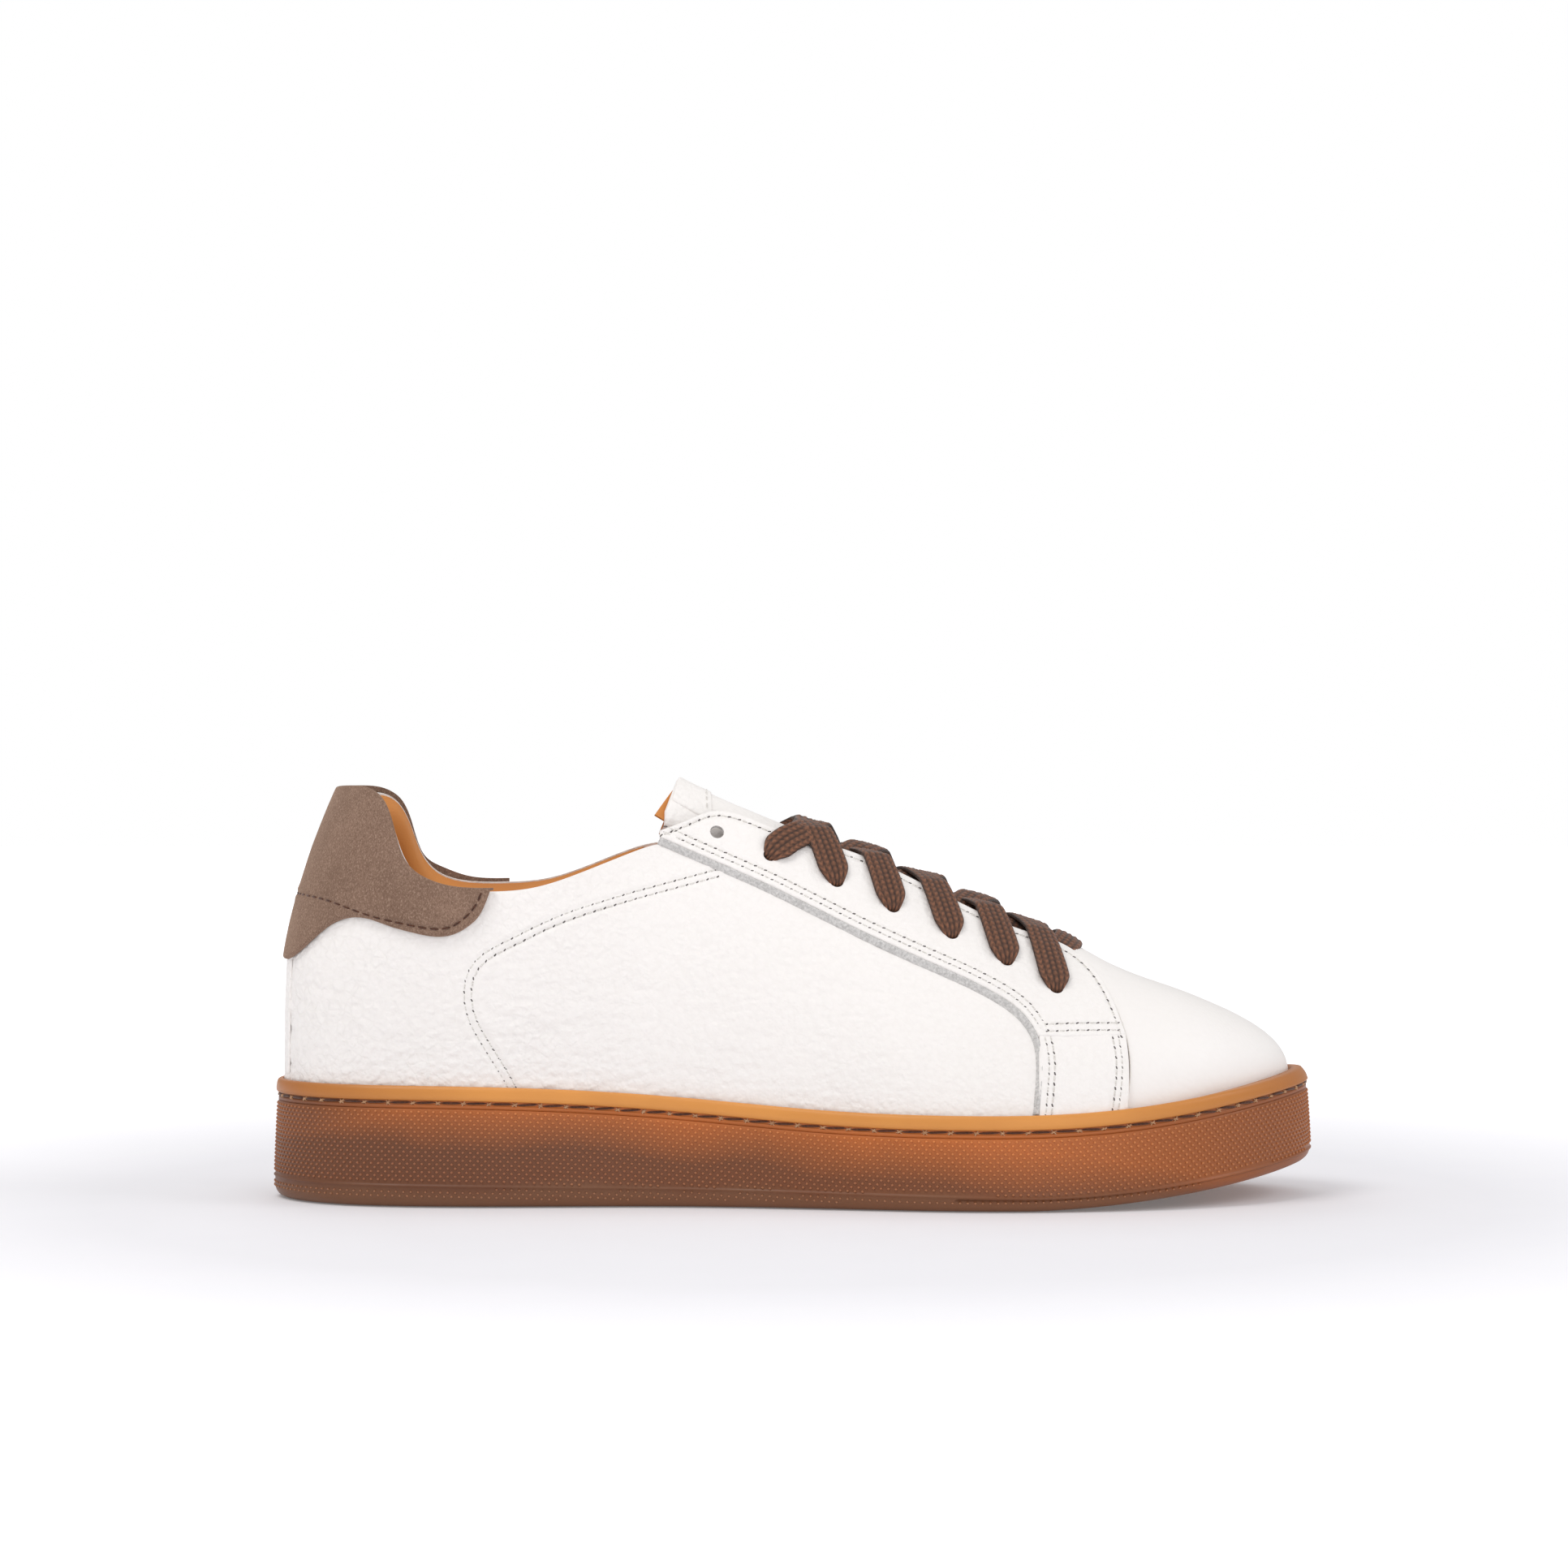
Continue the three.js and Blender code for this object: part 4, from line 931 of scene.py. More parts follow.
def build_sole_stitching():
    turns, _ = arc_turns(SOLE_COLUMNS)
    x = edge(turns)[0]
    top = sole_top(x)
    rings = [ring(turns, RIM_INSET + inset, top + lift) for inset, lift in GROOVE_PROFILE]
    rings += [ring(turns, inner_wall(x), top + lift) for lift in (STITCH_TOP, STITCH_BOTTOM)]
    tube_rings("stitch_groove", rings, False, sole_gum, "sole_rubber", replaces=("sidewall_stitching",))
    stitches_at, knots_at = pitched_turns(SOLE_STITCH_PITCH)
    rng = random.Random(KNOT_SEED)

    def draws(low, high, turns):
        return np.array([rng.uniform(low, high) for _ in turns])[:, None]

    origin, u, v, n = groove_frame(stitches_at, 0.2, -0.22)
    along = u + v * draws(-0.01, 0.05, stitches_at)
    placed = (origin, along * SOLE_STITCH_LENGTH / 2, v * SOLE_THREAD, n * SOLE_THREAD)
    new_mesh("sole_stitches", *scatter(capsule(), placed), dark_thread, "sole_thread")
    origin, u, v, n = groove_frame(knots_at, 0.1, -0.32)
    groups = []
    for lean in KNOT_LEANS:
        spread, long = draws(0.4, 1.6, knots_at), draws(0.7, 1.35, knots_at)
        along = unit(u + v * lean * spread)
        groups.append((origin, along * long, np.cross(n, along) * KNOT_WIDE, n * KNOT_DEEP))
    new_mesh("sole_thread_knots", *scatter(capsule(6, 5), join(groups)), fuzzy_thread, "sole_thread")


build_sole_wall()
build_studs()
build_welt()
build_sole_stitching()

# ---------------------------------------------------------------- outlines of the upper's pieces

SHELL, INNER_LINING = (0, -1.2), (-3.05, -3.85)  # outer and inner offset from the lasted surface
OVERLAY, TAB_OVERLAY = (1.6, 0.4), (1.9, 0.7)
SEAM, FEATHER_LIFT, APEX = 0.0015, 0.5, math.pi / 2 - 0.05
QUARTER_FRONT_X, VAMP_BACK_X = 79, 81.5
SIDES = (("lateral", False), ("medial", True))

TOPLINE = [
    (-131.4, 116), (-124.8, 116.4), (-118.5, 114.6), (-113.5, 106), (-110, 97.5), (-105, 92),
    (-97, 89), (-86, 88.4), (-73, 89.6), (-59, 94.2), (-45, 99.8), (-38, 101.8), (-20, 96.4),
    (-4, 90), (18, 79), (40, 68.5), (56, 60.5), (66, 54), (78, 45),
]
TAB_TOP = [
    (-131.4, 117.2), (-124.8, 117.8), (-118, 116), (-113, 107), (-110, 98), (-105, 92.9),
    (-97, 90), (-85.5, 89.3),
]
TAB_BOTTOM = [
    (-146.9, 68.5), (-143, 69), (-138.2, 72.6), (-131.4, 78.2), (-125.8, 80.6), (-119.5, 80.4),
    (-113.4, 78.4), (-107.4, 76.8), (-101.4, 75.7), (-95.5, 76.4), (-90.7, 79.3), (-87.4, 83.8),
    (-85.6, 88.6),
]
EYESTAY_LOW = [
    (-38.4, 103), (-22, 95.8), (-6.4, 88.9), (17, 77.3), (40, 66.8), (57, 58.6), (64, 53.4), (67.9, 47.4),
]
THROAT = [
    (-38.6, 105), (-31, 107.8), (-24, 110.2), (-15, 108.8), (-6, 105.2), (16, 98.2), (34, 90.2),
    (52, 81.2), (67, 75), (77, 71.4), (84, 66.2), (89, 58.4), (92.9, 47.4),
]
LEG_TOP = [(68.3, 47.8), (80.5, 48), (92.8, 47.9)]
LEG_FOOT = [(67.6, 24.5), (80, 24.5), (92.2, 25)]
LEG_BACK = [(67.9, 47.4), (68.9, 42), (68.6, 35), (67.6, 26.5)]
LEG_FRONT = [(92.9, 47.4), (93.6, 42), (93.3, 35), (92.0, 27)]
TAB_SEAM = [
    (-142.6, 86.8), (-137, 86.3), (-131.4, 85.3), (-124.6, 83.1), (-118.3, 81.1), (-112.2, 79.7),
    (-106.2, 78.5), (-101.4, 77.8), (-96.7, 78.2), (-92.2, 81.2), (-89.3, 84.8), (-87.9, 88.3),
]
SADDLE = [
    (-22.3, 94.3), (-33.5, 91.3), (-44, 88.5), (-54.5, 85.4), (-65, 81.9), (-73.2, 78.3), (-80.4, 74.7),
    (-86.6, 71.4), (-90.7, 67.5), (-92.5, 63), (-92.7, 57.9), (-91.6, 52.7), (-89.1, 47.7), (-86, 42.6),
    (-82.4, 36.9), (-79.9, 32.5),
]


def feather_angle(t):
    """Angle just above the feather edge, where the upper's panels begin."""
    return angle_at(t, sole_top(edge(t)[0]) - FEATHER_DROP + FEATHER_LIFT)


def line_height(points, medial):
    """Height of a side-view line as a function of the distance m round one side."""
    line = np.array(points, float)
    m, _ = locate(line[:, 0], line[:, 1], medial)
    return Spline(list(zip(m, line[:, 1])))


MEDIAL_COLLAR_RISE, TAB_WING_X = 1.3, -108


def collar_line(medial):
    """Topline of one side; the medial collar stands slightly higher between the tab and the eyestay."""
    rise = MEDIAL_COLLAR_RISE if medial else 0
    return [(x, z + rise * float(smoothstep(-112, -90, x) * smoothstep(-36, -50, x))) for x, z in TOPLINE]


def tab_line(medial):
    """Top of the heel tab on one side, raised with the medial collar along the tab's wing."""
    rise = MEDIAL_COLLAR_RISE if medial else 0
    return [(x, z + (rise if x > TAB_WING_X else 0)) for x, z in TAB_TOP]


quarter_top = {side: line_height(collar_line(medial), medial) for side, medial in SIDES}
tab_top = {side: line_height(tab_line(medial), medial) for side, medial in SIDES}
tab_bottom = {side: line_height(TAB_BOTTOM, medial) for side, medial in SIDES}


def lowered(lines, drop):
    """The same height lines by side, moved down by drop."""
    return {side: lambda m, line=line: line(m) - drop for side, line in lines.items()}


def wall_lines(medial, start, end, top):
    """Low and high curves of a panel between the feather edge and a height line on one side."""
    def turn(k):
        m = mix(start, end, 1 - k if medial else k)
        return m, side_turn(m, medial)

    def low(k):
        return turn(k)[1], feather_angle(turn(k)[1])

    def high(k):
        m, t = turn(k)
        return t, angle_at(t, top(m))

    return low, high


def heel_lines(limit_x, bottom, top):
    """Low and high curves of a panel round the heel, from height lines by side; None is the feather edge."""
    ends = -turn_at_x(limit_x, True), turn_at_x(limit_x, False)

    def line(rules):
        def curve(k):
            t = mix(*ends, k)
            if not rules:
                return t, feather_angle(t)
            m = np.abs(t)
            return t, angle_at(t, np.where(t < 0, rules["medial"](m), rules["lateral"](m)))
        return curve

    return line(bottom), line(top)


def toe_lines():
    """Low and high curves of the vamp, from the feather edge to just short of its crown."""
    ends = turn_at_x(VAMP_BACK_X, False), 1 - turn_at_x(VAMP_BACK_X, True)

    def low(k):
        t = mix(*ends, k)
        return t, feather_angle(t)

    def high(k):
        t = mix(*ends, k)
        return t, np.full(np.shape(t), APEX)

    return low, high


def located(points, medial, count=160):
    """Side-view curve as k -> (turn, angle); the medial copy runs backwards to keep facing out."""
    m, a = locate(*side_curve(points, count), medial)
    steps = np.linspace(0, 1, count)

    def curve(k):
        k = 1 - k if medial else k
        return side_turn(np.interp(k, steps, m), medial), np.interp(k, steps, a)

    return curve


def side_line(points, medial, shift=0.0, lift=0.0, pitch=0.8, count=None):
    """Side-view line laid on the surface, moved sideways by shift: evenly spaced points and normals."""
    xs, zs = side_curve(points, 240)
    dx, dz = np.gradient(xs), np.gradient(zs)
    length = np.hypot(dx, dz)
    m, a = locate(xs - dz / length * shift, zs + dx / length * shift, medial)
    t = side_turn(m, medial)
    run = run_along(surface(t, a)[0])
    count = count or max(2, int(round(run[-1] / pitch)))
    at = np.linspace(0, run[-1], count + 1)
    return surface(np.interp(at, run, t), np.interp(at, run, a), np.full(count + 1, float(lift)))


# ---------------------------------------------------------------- relief and stitching of the leather

PEBBLE_SIZE, FOLD_WAVE, SWELL_WAVE, SWELL_HEIGHT = 1.8, 5.5, 14, 0.35
FOLD_STRETCH = (0.34, 0.5, 1.6)
FLATTENED, PULL_DEPTH, PULL_WIDTH = 1.6, 0.34, 0.62
PUFF_HEIGHT, PUFF_AT, PUFF_WIDTH = 0.13, 1.5, 0.8


def pebbles(points, seed):
    """Rounded grains with hollows between them."""
    bent = points + 1.2 * (fractal(points / 3.1, seed + 5, 2)[..., None] - 0.5)
    return np.clip(0.62 - cellular(bent / PEBBLE_SIZE, seed), 0, 1)


def creases(points, seed):
    """Fine folds that run roughly along the shoe."""
    wave = fractal(points * np.array(FOLD_STRETCH) / FOLD_WAVE, seed, 3)
    return -np.clip(0.5 - np.abs(wave - 0.5) * 9, 0, 0.5)


def hide(grain, fold, stitched=(), seed=3):
    """Relief of a hide: grain and folds (numbers or rules by place), pulled down along stitched lines."""
    def relief(points):
        coarse, folded = (rule(points) if callable(rule) else rule for rule in (grain, fold))
        lift = pebbles(points, seed) * coarse + creases(points, seed + 9) * folded
        lift = lift + SWELL_HEIGHT * (fractal(points / SWELL_WAVE, seed + 20, 2) - 0.5)
        for line in stitched:
            gap = distances(points, line)
            lift = lift * np.clip(gap / FLATTENED, 0.25, 1) - PULL_DEPTH * np.exp(-(gap / PULL_WIDTH) ** 2)
            lift = lift + PUFF_HEIGHT * np.exp(-((gap - PUFF_AT) / PUFF_WIDTH) ** 2)
        return lift
    return relief


THREAD, UPPER_PITCH = 0.27, 3.1
HOLE_LONG, HOLE_WIDE, HOLE_DEEP = 0.68, 0.25, 0.2
threads, needle_shadow_marks = [], []


def sew(rows, radius=THREAD, into=threads, marks=True, cover=0.78):
    """Thread stitches, and dark marks of painted shadow for the needle holes between them, on (points,
    normals) rows spaced one stitch apart.
    """
    for points, normals in rows:
        along = points[1:] - points[:-1]
        length = np.linalg.norm(along, axis=1, keepdims=True)
        u = along / length
        n = unit(normals[1:] + normals[:-1])
        v = unit(np.cross(n, u))
        into.append(((points[1:] + points[:-1]) / 2, u * length * cover / 2, v * radius, n * radius))
        # Painted shadow: dark marks where the needle holes are.
        if marks:
            slant, side, outward = (np.concatenate([d, d[-1:]]) for d in (u * 0.95 + v * 0.3, v, n))
            needle_shadow_marks.append((points, slant * HOLE_LONG, side * HOLE_WIDE, outward * HOLE_DEEP))


def seam_lines(rows, medial):
    """Surface points under (side-view line, shift) rows of stitches."""
    return [side_line(points, medial, shift)[0] for points, shift in rows]


def sew_seams(rows, medial, lift):
    sew([side_line(points, medial, shift, lift, UPPER_PITCH) for points, shift in rows])


# ---------------------------------------------------------------- panels

ROW_GAP, SADDLE_GAP, STITCH_SINK = 1.6, 2.0, 0.24
LEG_SEAMS = [[(70.5, z), (80.5, z + 0.2), (90.8, z + 0.1)] for z in (48.6, 50.5)]


def cut_away(piece, cutters):
    """Boolean-subtracts the cutters, which are then removed."""
    for cutter in cutters:
        modifier = piece.modifiers.new("cut", "BOOLEAN")
        modifier.operation, modifier.object, modifier.solver = "DIFFERENCE", cutter, "MANIFOLD"
    bpy.context.view_layer.update()
    graph = bpy.context.evaluated_depsgraph_get()
    result = bpy.data.meshes.new_from_object(piece.evaluated_get(graph))
    piece.modifiers.clear()
    old = piece.data
    piece.data = result
    result.name = old.name
    for cutter in cutters:
        bpy.data.objects.remove(cutter)
    bpy.data.meshes.remove(old)


LACE_HOLES = [
    (73.6, 60), (59.8, 67.7), (44.3, 75.2), (27.7, 82.8), (11.7, 90.1), (-7.1, 97.6), (-22.4, 104.2),
]
PUNCH_RADIUS, PUNCH_REACH, CUTTER_SIDES = 2.0, 4.0, 28


def locate_holes(medial):
    m, a = locate(*np.array(LACE_HOLES, float).T, medial)
    return side_turn(m, medial), a


hole_turns = {side: locate_holes(medial) for side, medial in SIDES}


def hole_spot(side, index):
    """Centre and normal of one lace hole on the lasted surface."""
    turns, angles = hole_turns[side]
    return surface(turns[index], angles[index])


def hole_cutter(side, index):
    centre, normal = hole_spot(side, index)
    axis = Vector(normal)
    u = axis.orthogonal().normalized()
    v = axis.cross(u)
    count, points = CUTTER_SIDES, []
    for reach in (-PUNCH_REACH, PUNCH_REACH):
        for i in range(count):
            angle = 2 * math.pi * i / count
            spoke = np.array(u) * math.cos(angle) + np.array(v) * math.sin(angle)
            points.append(centre + normal * reach + spoke * PUNCH_RADIUS)
    faces = [tuple(range(count - 1, -1, -1)), tuple(range(count, 2 * count))]
    faces += [(i, (i + 1) % count, count + (i + 1) % count, count + i) for i in range(count)]
    cutter = bpy.data.objects.new("cutter", mesh_data("cutter", points, faces, cut_edge))
    scene.collection.objects.link(cutter)
    return cutter


def punch(piece, side):
    """Cuts the lace holes; their walls show the cut edge of the leather."""
    piece.data.materials.append(cut_edge)
    cut_away(piece, [hole_cutter(side, i) for i in range(len(LACE_HOLES))])


EDGE_COLUMNS, EDGE_ROWS, EDGE_ROUGHNESS = 320, 7, 0.25


def raw_edge(name, points, medial, width, high, low, material):
    """Sloping raw cut edge of an overlay, laid outside the line that bounds its grain side."""
    rows = [side_line(points, medial, -width * k, mix(high, low, k ** 1.4), count=EDGE_COLUMNS)[0]
            for k in np.linspace(1, 0, EDGE_ROWS)]
    outer = np.stack(rows, 1)
    drift = fractal(outer / 1.3, 41, 2)[..., None] - 0.5
    normals = side_line(points, medial, -width / 2, 0, count=EDGE_COLUMNS)[1][:, None]
    outer = outer + normals * drift * EDGE_ROUGHNESS
    inner = outer - normals * np.clip(np.linspace(0.2, high - 0.2, EDGE_ROWS), 0.2, None)[None, :, None]
    if medial:
        outer, inner = outer[::-1], inner[::-1]
    new_mesh(name, *sheet_mesh(outer, inner), material, "facing")


def quarter_grain(points):
    """Coarser grain towards the heel and low on the flank."""
    back = smoothstep(-40, -120, points[..., 0])
    middle = smoothstep(20, -30, points[..., 0]) * smoothstep(75, 45, points[..., 2])
    return 0.1 + 0.5 * back + 0.26 * middle


def quarter_folds(points):
    """Folds on the flank, where the foot bends the leather, and round the heel."""
    x, z = points[..., 0], points[..., 2]
    flank = smoothstep(-110, -70, x) * smoothstep(60, 0, x) * smoothstep(85, 60, z)
    heel = smoothstep(-95, -140, x)
    return 0.1 + 0.42 * flank + 0.5 * heel


def build_quarter(side, medial):
    front = turn_at_x(QUARTER_FRONT_X, medial)
    patch = Patch(*wall_lines(medial, SEAM, front, quarter_top[side]), step=0.8)
    seams = [(SADDLE, 0), (SADDLE, SADDLE_GAP)]
    relief = hide(quarter_grain, quarter_folds, seam_lines(seams, medial), seed=3 if medial else 5)
    patch.build(f"quarter_{side}_leather", *SHELL, white_leather, "white_leather", relief,
                replaces=(f"quarter_{side}",))
    sew_seams(seams, medial, -STITCH_SINK)


LEG_OVERLAY, LEG_SINK = (OVERLAY[0] - 0.25, OVERLAY[1] - 0.2), 0.45


def build_eyestay(side, medial):
    """Eyestay with its lace holes, the leg below it, their seams and their raw edges."""
    seams = [(EYESTAY_LOW, 1.7), (EYESTAY_LOW, 1.7 + ROW_GAP), (THROAT, -1.5)]
    seams += [(seam, 0) for seam in LEG_SEAMS]
    relief = hide(0.05, 0.05, seam_lines(seams, medial), seed=12)
    patch = Patch(located(EYESTAY_LOW, medial), located(THROAT, medial), step=0.62)
    piece = patch.build(f"eyestay_{side}_leather", *OVERLAY, white_leather, "white_leather", relief,
                        replaces=(f"eyestay_{side}",))
    punch(piece, side)
    sew_seams(seams, medial, OVERLAY[0] - STITCH_SINK)
    seams = [(LEG_BACK, 1.9), (LEG_BACK, 1.9 + ROW_GAP), (LEG_FRONT, -2.3), (LEG_FRONT, -2.3 - ROW_GAP)]
    relief = hide(0.04, 0.04, seam_lines(seams, medial), seed=15)
    patch = Patch(located(LEG_FOOT, medial), located(LEG_TOP, medial), step=0.62)
    patch.build(f"eyestay_leg_{side}_leather", *LEG_OVERLAY, white_leather, "white_leather", relief,
                rounding=0.4, replaces=(f"eyestay_leg_{side}",))
    sew_seams(seams, medial, OVERLAY[0] - LEG_SINK)
    raw_edge(f"raw_edge_{side}", EYESTAY_LOW[:-1] + LEG_BACK, medial, 1.6, 1.42, 0.12, cut_edge)
    raw_edge(f"raw_edge_front_{side}", THROAT[-5:-1] + LEG_FRONT, medial, -0.4, 0.85, 0.1, pale_edge)


def build_vamp():
    relief = hide(lambda p: 0.02 + 0.04 * smoothstep(120, 90, p[..., 0]),
                  lambda p: 0.02 + 0.16 * smoothstep(112, 88, p[..., 0]), seed=7)
    Patch(*toe_lines(), step=0.85).build("vamp_leather", *SHELL, toe_leather, "white_leather", relief,
                                         replaces=("vamp",))


TAB_PITCH, TAB_THREAD, TAB_STITCH_SINK = 3.3, 0.3, 0.2


def build_heel_tab():
    patch = Patch(*heel_lines(TAB_TOP[-1][0], tab_bottom, tab_top), step=0.7)
    relief = hide(0.02, 0.03, [side_line(TAB_SEAM, medial)[0] for _, medial in SIDES], seed=19)
    patch.build("heel_tab_suede", *TAB_OVERLAY, suede_taupe, "suede", relief, rounding=0.9,
                replaces=("heel_tab",))
    brown, lift = [], TAB_OVERLAY[0] - TAB_STITCH_SINK
    sew([side_line(TAB_SEAM, medial, 0, lift, TAB_PITCH) for _, medial in SIDES],
        radius=TAB_THREAD, into=brown, marks=False, cover=0.86)
    new_mesh("heel_tab_stitches", *scatter(capsule(), join(brown)), dark_thread, "sole_thread")


HEEL_STRIP_LINE, HEEL_STRIP_TOP, HEEL_STRIP = (-144.5, 46), 75.0, (0.6, 0.05)


def build_heel_strip():
    """Strip of leather over the back seam, its upper end under the tab."""
    x, z = HEEL_STRIP_LINE
    limits = [float(locate(np.array([x]), np.array([z]), medial)[0][0]) for _, medial in SIDES]

    def low(k):
        t = mix(-limits[1], limits[0], k)
        return t, feather_angle(t)

    def high(k):
        t = mix(-limits[1], limits[0], k)
        return t, angle_at(t, HEEL_STRIP_TOP)

    Patch(low, high, step=0.7).build("heel_strip_leather", *HEEL_STRIP, white_leather, "white_leather",
                                     hide(0.12, 0.1, seed=29), rounding=0.4)


for side_name, is_medial in SIDES:
    build_quarter(side_name, is_medial)
    build_eyestay(side_name, is_medial)
build_vamp()
build_heel_strip()
build_heel_tab()

# ---------------------------------------------------------------- linings and collar

PAD_DEPTH, PAD_SWELL, PAD_OUTER, PAD_INNER, PAD_TOP_GAP, PAD_END_FADE = 20, 2.8, -1.35, -2.1, 2.2, 12
TUCK, TUCK_DEPTH, LINING_SEAM, LINING_SEAM_WIDTH = 1.75, 3.5, 0.5, 0.9
LINING_JOIN_X, LINING_OVERLAP, LINING_THICKNESS = -44, 0.1, 0.8


def padding_swell(patch, start=0.0):
    """Inward swell of the collar's padding, by distance below the top edge; it fades out at both ends."""
    k = np.clip((patch.below_top + start) / PAD_DEPTH, 0, 1)
    ends = smoothstep(0, PAD_END_FADE, (np.linspace(0, 1, len(patch.t)) * patch.width)[:, None])
    return PAD_SWELL * np.sin(math.pi * k ** 0.8) ** 1.2 * ends * ends[::-1]


def top_tuck(patch):
    """How far a lining's top comes out to meet the outer leather."""
    return TUCK * (1 - smoothstep(0, TUCK_DEPTH, patch.below_top))


def build_linings():
    patch = Patch(*heel_lines(LINING_JOIN_X, None, lowered(quarter_top, 0.4)), step=1.1)
    seam = LINING_SEAM * np.exp(-((patch.below_top - PAD_DEPTH) / LINING_SEAM_WIDTH) ** 2)
    outer = INNER_LINING[0] - padding_swell(patch) + top_tuck(patch) + seam
    patch.build("heel_lining_leather", outer, outer - LINING_THICKNESS, tan_lining, "lining_leather",
                rounding=0.35, replaces=("heel_lining",))
    lines = heel_lines(LINING_JOIN_X - 2, lowered(quarter_top, PAD_DEPTH - 1.5), lowered(quarter_top, 2.6))
    pad = Patch(*lines, step=1.6)
    inner = PAD_INNER - padding_swell(pad, PAD_TOP_GAP)
    collar = pad.build("collar_padding", PAD_OUTER, inner, foam_cream, "foam", rounding=0.5,
                       replaces=("collar_foam",))
    for side, medial in SIDES:
        front = turn_at_x(QUARTER_FRONT_X, medial)
        back = turn_at_x(LINING_JOIN_X + LINING_OVERLAP, medial)

        def below_eyestay(m, rule=quarter_top[side]):
            """Height of the quarter lining: at the topline by the collar, well under it beside the tongue."""
            return rule(m) - 0.6 - 14.4 * smoothstep(0.24, 0.27, m)

        patch = Patch(*wall_lines(medial, back, front, below_eyestay), step=1.2)
        tuck = top_tuck(patch) * smoothstep(-33, -41, patch.base[..., 0])
        outer, inner = (offset + tuck for offset in INNER_LINING)
        patch.build(f"quarter_lining_{side}_leather", outer, inner, tan_lining, "lining_leather",
                    rounding=0.35, replaces=(f"quarter_lining_{side}",))
    Patch(*toe_lines(), step=2).build("vamp_lining_leather", *INNER_LINING, tan_lining, "lining_leather",
                                      rounding=0.3, replaces=("vamp_lining",))


build_linings()

# ---------------------------------------------------------------- tongue

TONGUE_FRONT_X, TONGUE_REAR_X, CAP_FRONT_X = 73.5, -32, -23
TONGUE_WIDTH = [(-32, 17), (-10, 19), (20, 20), (50, 16), (74, 10)]
SIDE_WRAP = (0.25, 0.5, 0.75, 1.0, 1.5, 2.0)
EDGE_WRAP, SHARP_DEGREES, PLAN_STEP = SIDE_WRAP[:4], 60, 0.5
LINING_TURN_UP, TURN_UP_FROM, TURN_UP_TO = 3.5, 0.4, 4.6
tongue_width = Spline(TONGUE_WIDTH)


def plan_height(x, y):
    """Height of the lasted surface over a plan position between the heel and toe axes."""
    medial = y > spine_y(x)

    def side(m):
        return np.where(medial, 1 - m, m)

    m = bisect(lambda k: edge(side(k), margin(edge(side(k))[0]))[0] < x, 0, 0.5, x.shape)
    half = np.abs(edge(side(m), margin(x))[1] - spine_y(x))
    ratio = np.minimum(np.abs(y - spine_y(x)) / half, 0.98)
    base = sole_top(x) - FEATHER_DROP
    return base + (crest(x) - base) * (1 - ratio ** across(x)) ** (1 / up(x))


def over_plan(x, y, offset):
    """Points offset from the lasted surface over plan positions, and the normals there."""
    x, y, offset = np.broadcast_arrays(np.asarray(x, float), np.asarray(y, float), np.asarray(offset, float))
    e = PLAN_STEP
    slope_x = (plan_height(x + e, y) - plan_height(x - e, y)) / (2 * e)
    slope_y = (plan_height(x, y + e) - plan_height(x, y - e)) / (2 * e)
    normal = unit(np.stack([-slope_x, -slope_y, np.ones_like(slope_x)], -1))
    return np.stack([x, y, plan_height(x, y)], -1) + normal * offset[..., None], normal


def tongue_grid(start, end, share, offset, counts, roll=0.0, depth=0.0, lip=0.0, bow=4.0):
    """Points and normals over the tongue, on share of its width and with a bow-shaped rear edge.

    The sides roll down by depth round an edge of radius roll, and the rear end by lip. The offset is a number
    or a rule by the distance from start. Sheets need the same counts and rolls on both faces.
    """
    along = np.concatenate([-np.array(EDGE_WRAP[::-1]) if lip else [], np.linspace(0, 1, counts[0])])
    line, wrap = np.linspace(-1, 1, counts[1]), np.array(SIDE_WRAP)
    across_share = np.concatenate([-1 - wrap[::-1], line, 1 + wrap]) if roll else line
    k, w = np.meshgrid(along, across_share, indexing="ij")
    turn = np.clip(-k, 0, 1) * math.pi / 2
    back, drop_back = lip * np.sin(turn), lip * (1 - np.cos(turn))
    extra = np.maximum(np.abs(w) - 1, 0)
    turn = np.clip(extra, 0, 1) * math.pi / 2
    drop_side = roll * (1 - np.cos(turn)) + np.clip(extra - 1, 0, 1) * (depth - roll)
    inner = np.clip(w, -1, 1) * share
    k = np.maximum(k, 0)
    x = mix(start + lip, end, k) - bow * inner ** 2 * (1 - k) - back
    y = spine_y(x) + inner * (tongue_width(x) - roll) + np.sign(w) * roll * np.sin(turn)
    lift = offset(x - start) if callable(offset) else offset
    return over_plan(x, y, lift - drop_back - drop_side)


def tongue_piece(name, outer, inner, material, slot, **options):
    return new_mesh(name, *sheet_mesh(outer, inner), material, slot, body="tongue", keep_sharp=SHARP_DEGREES,
                    **options)


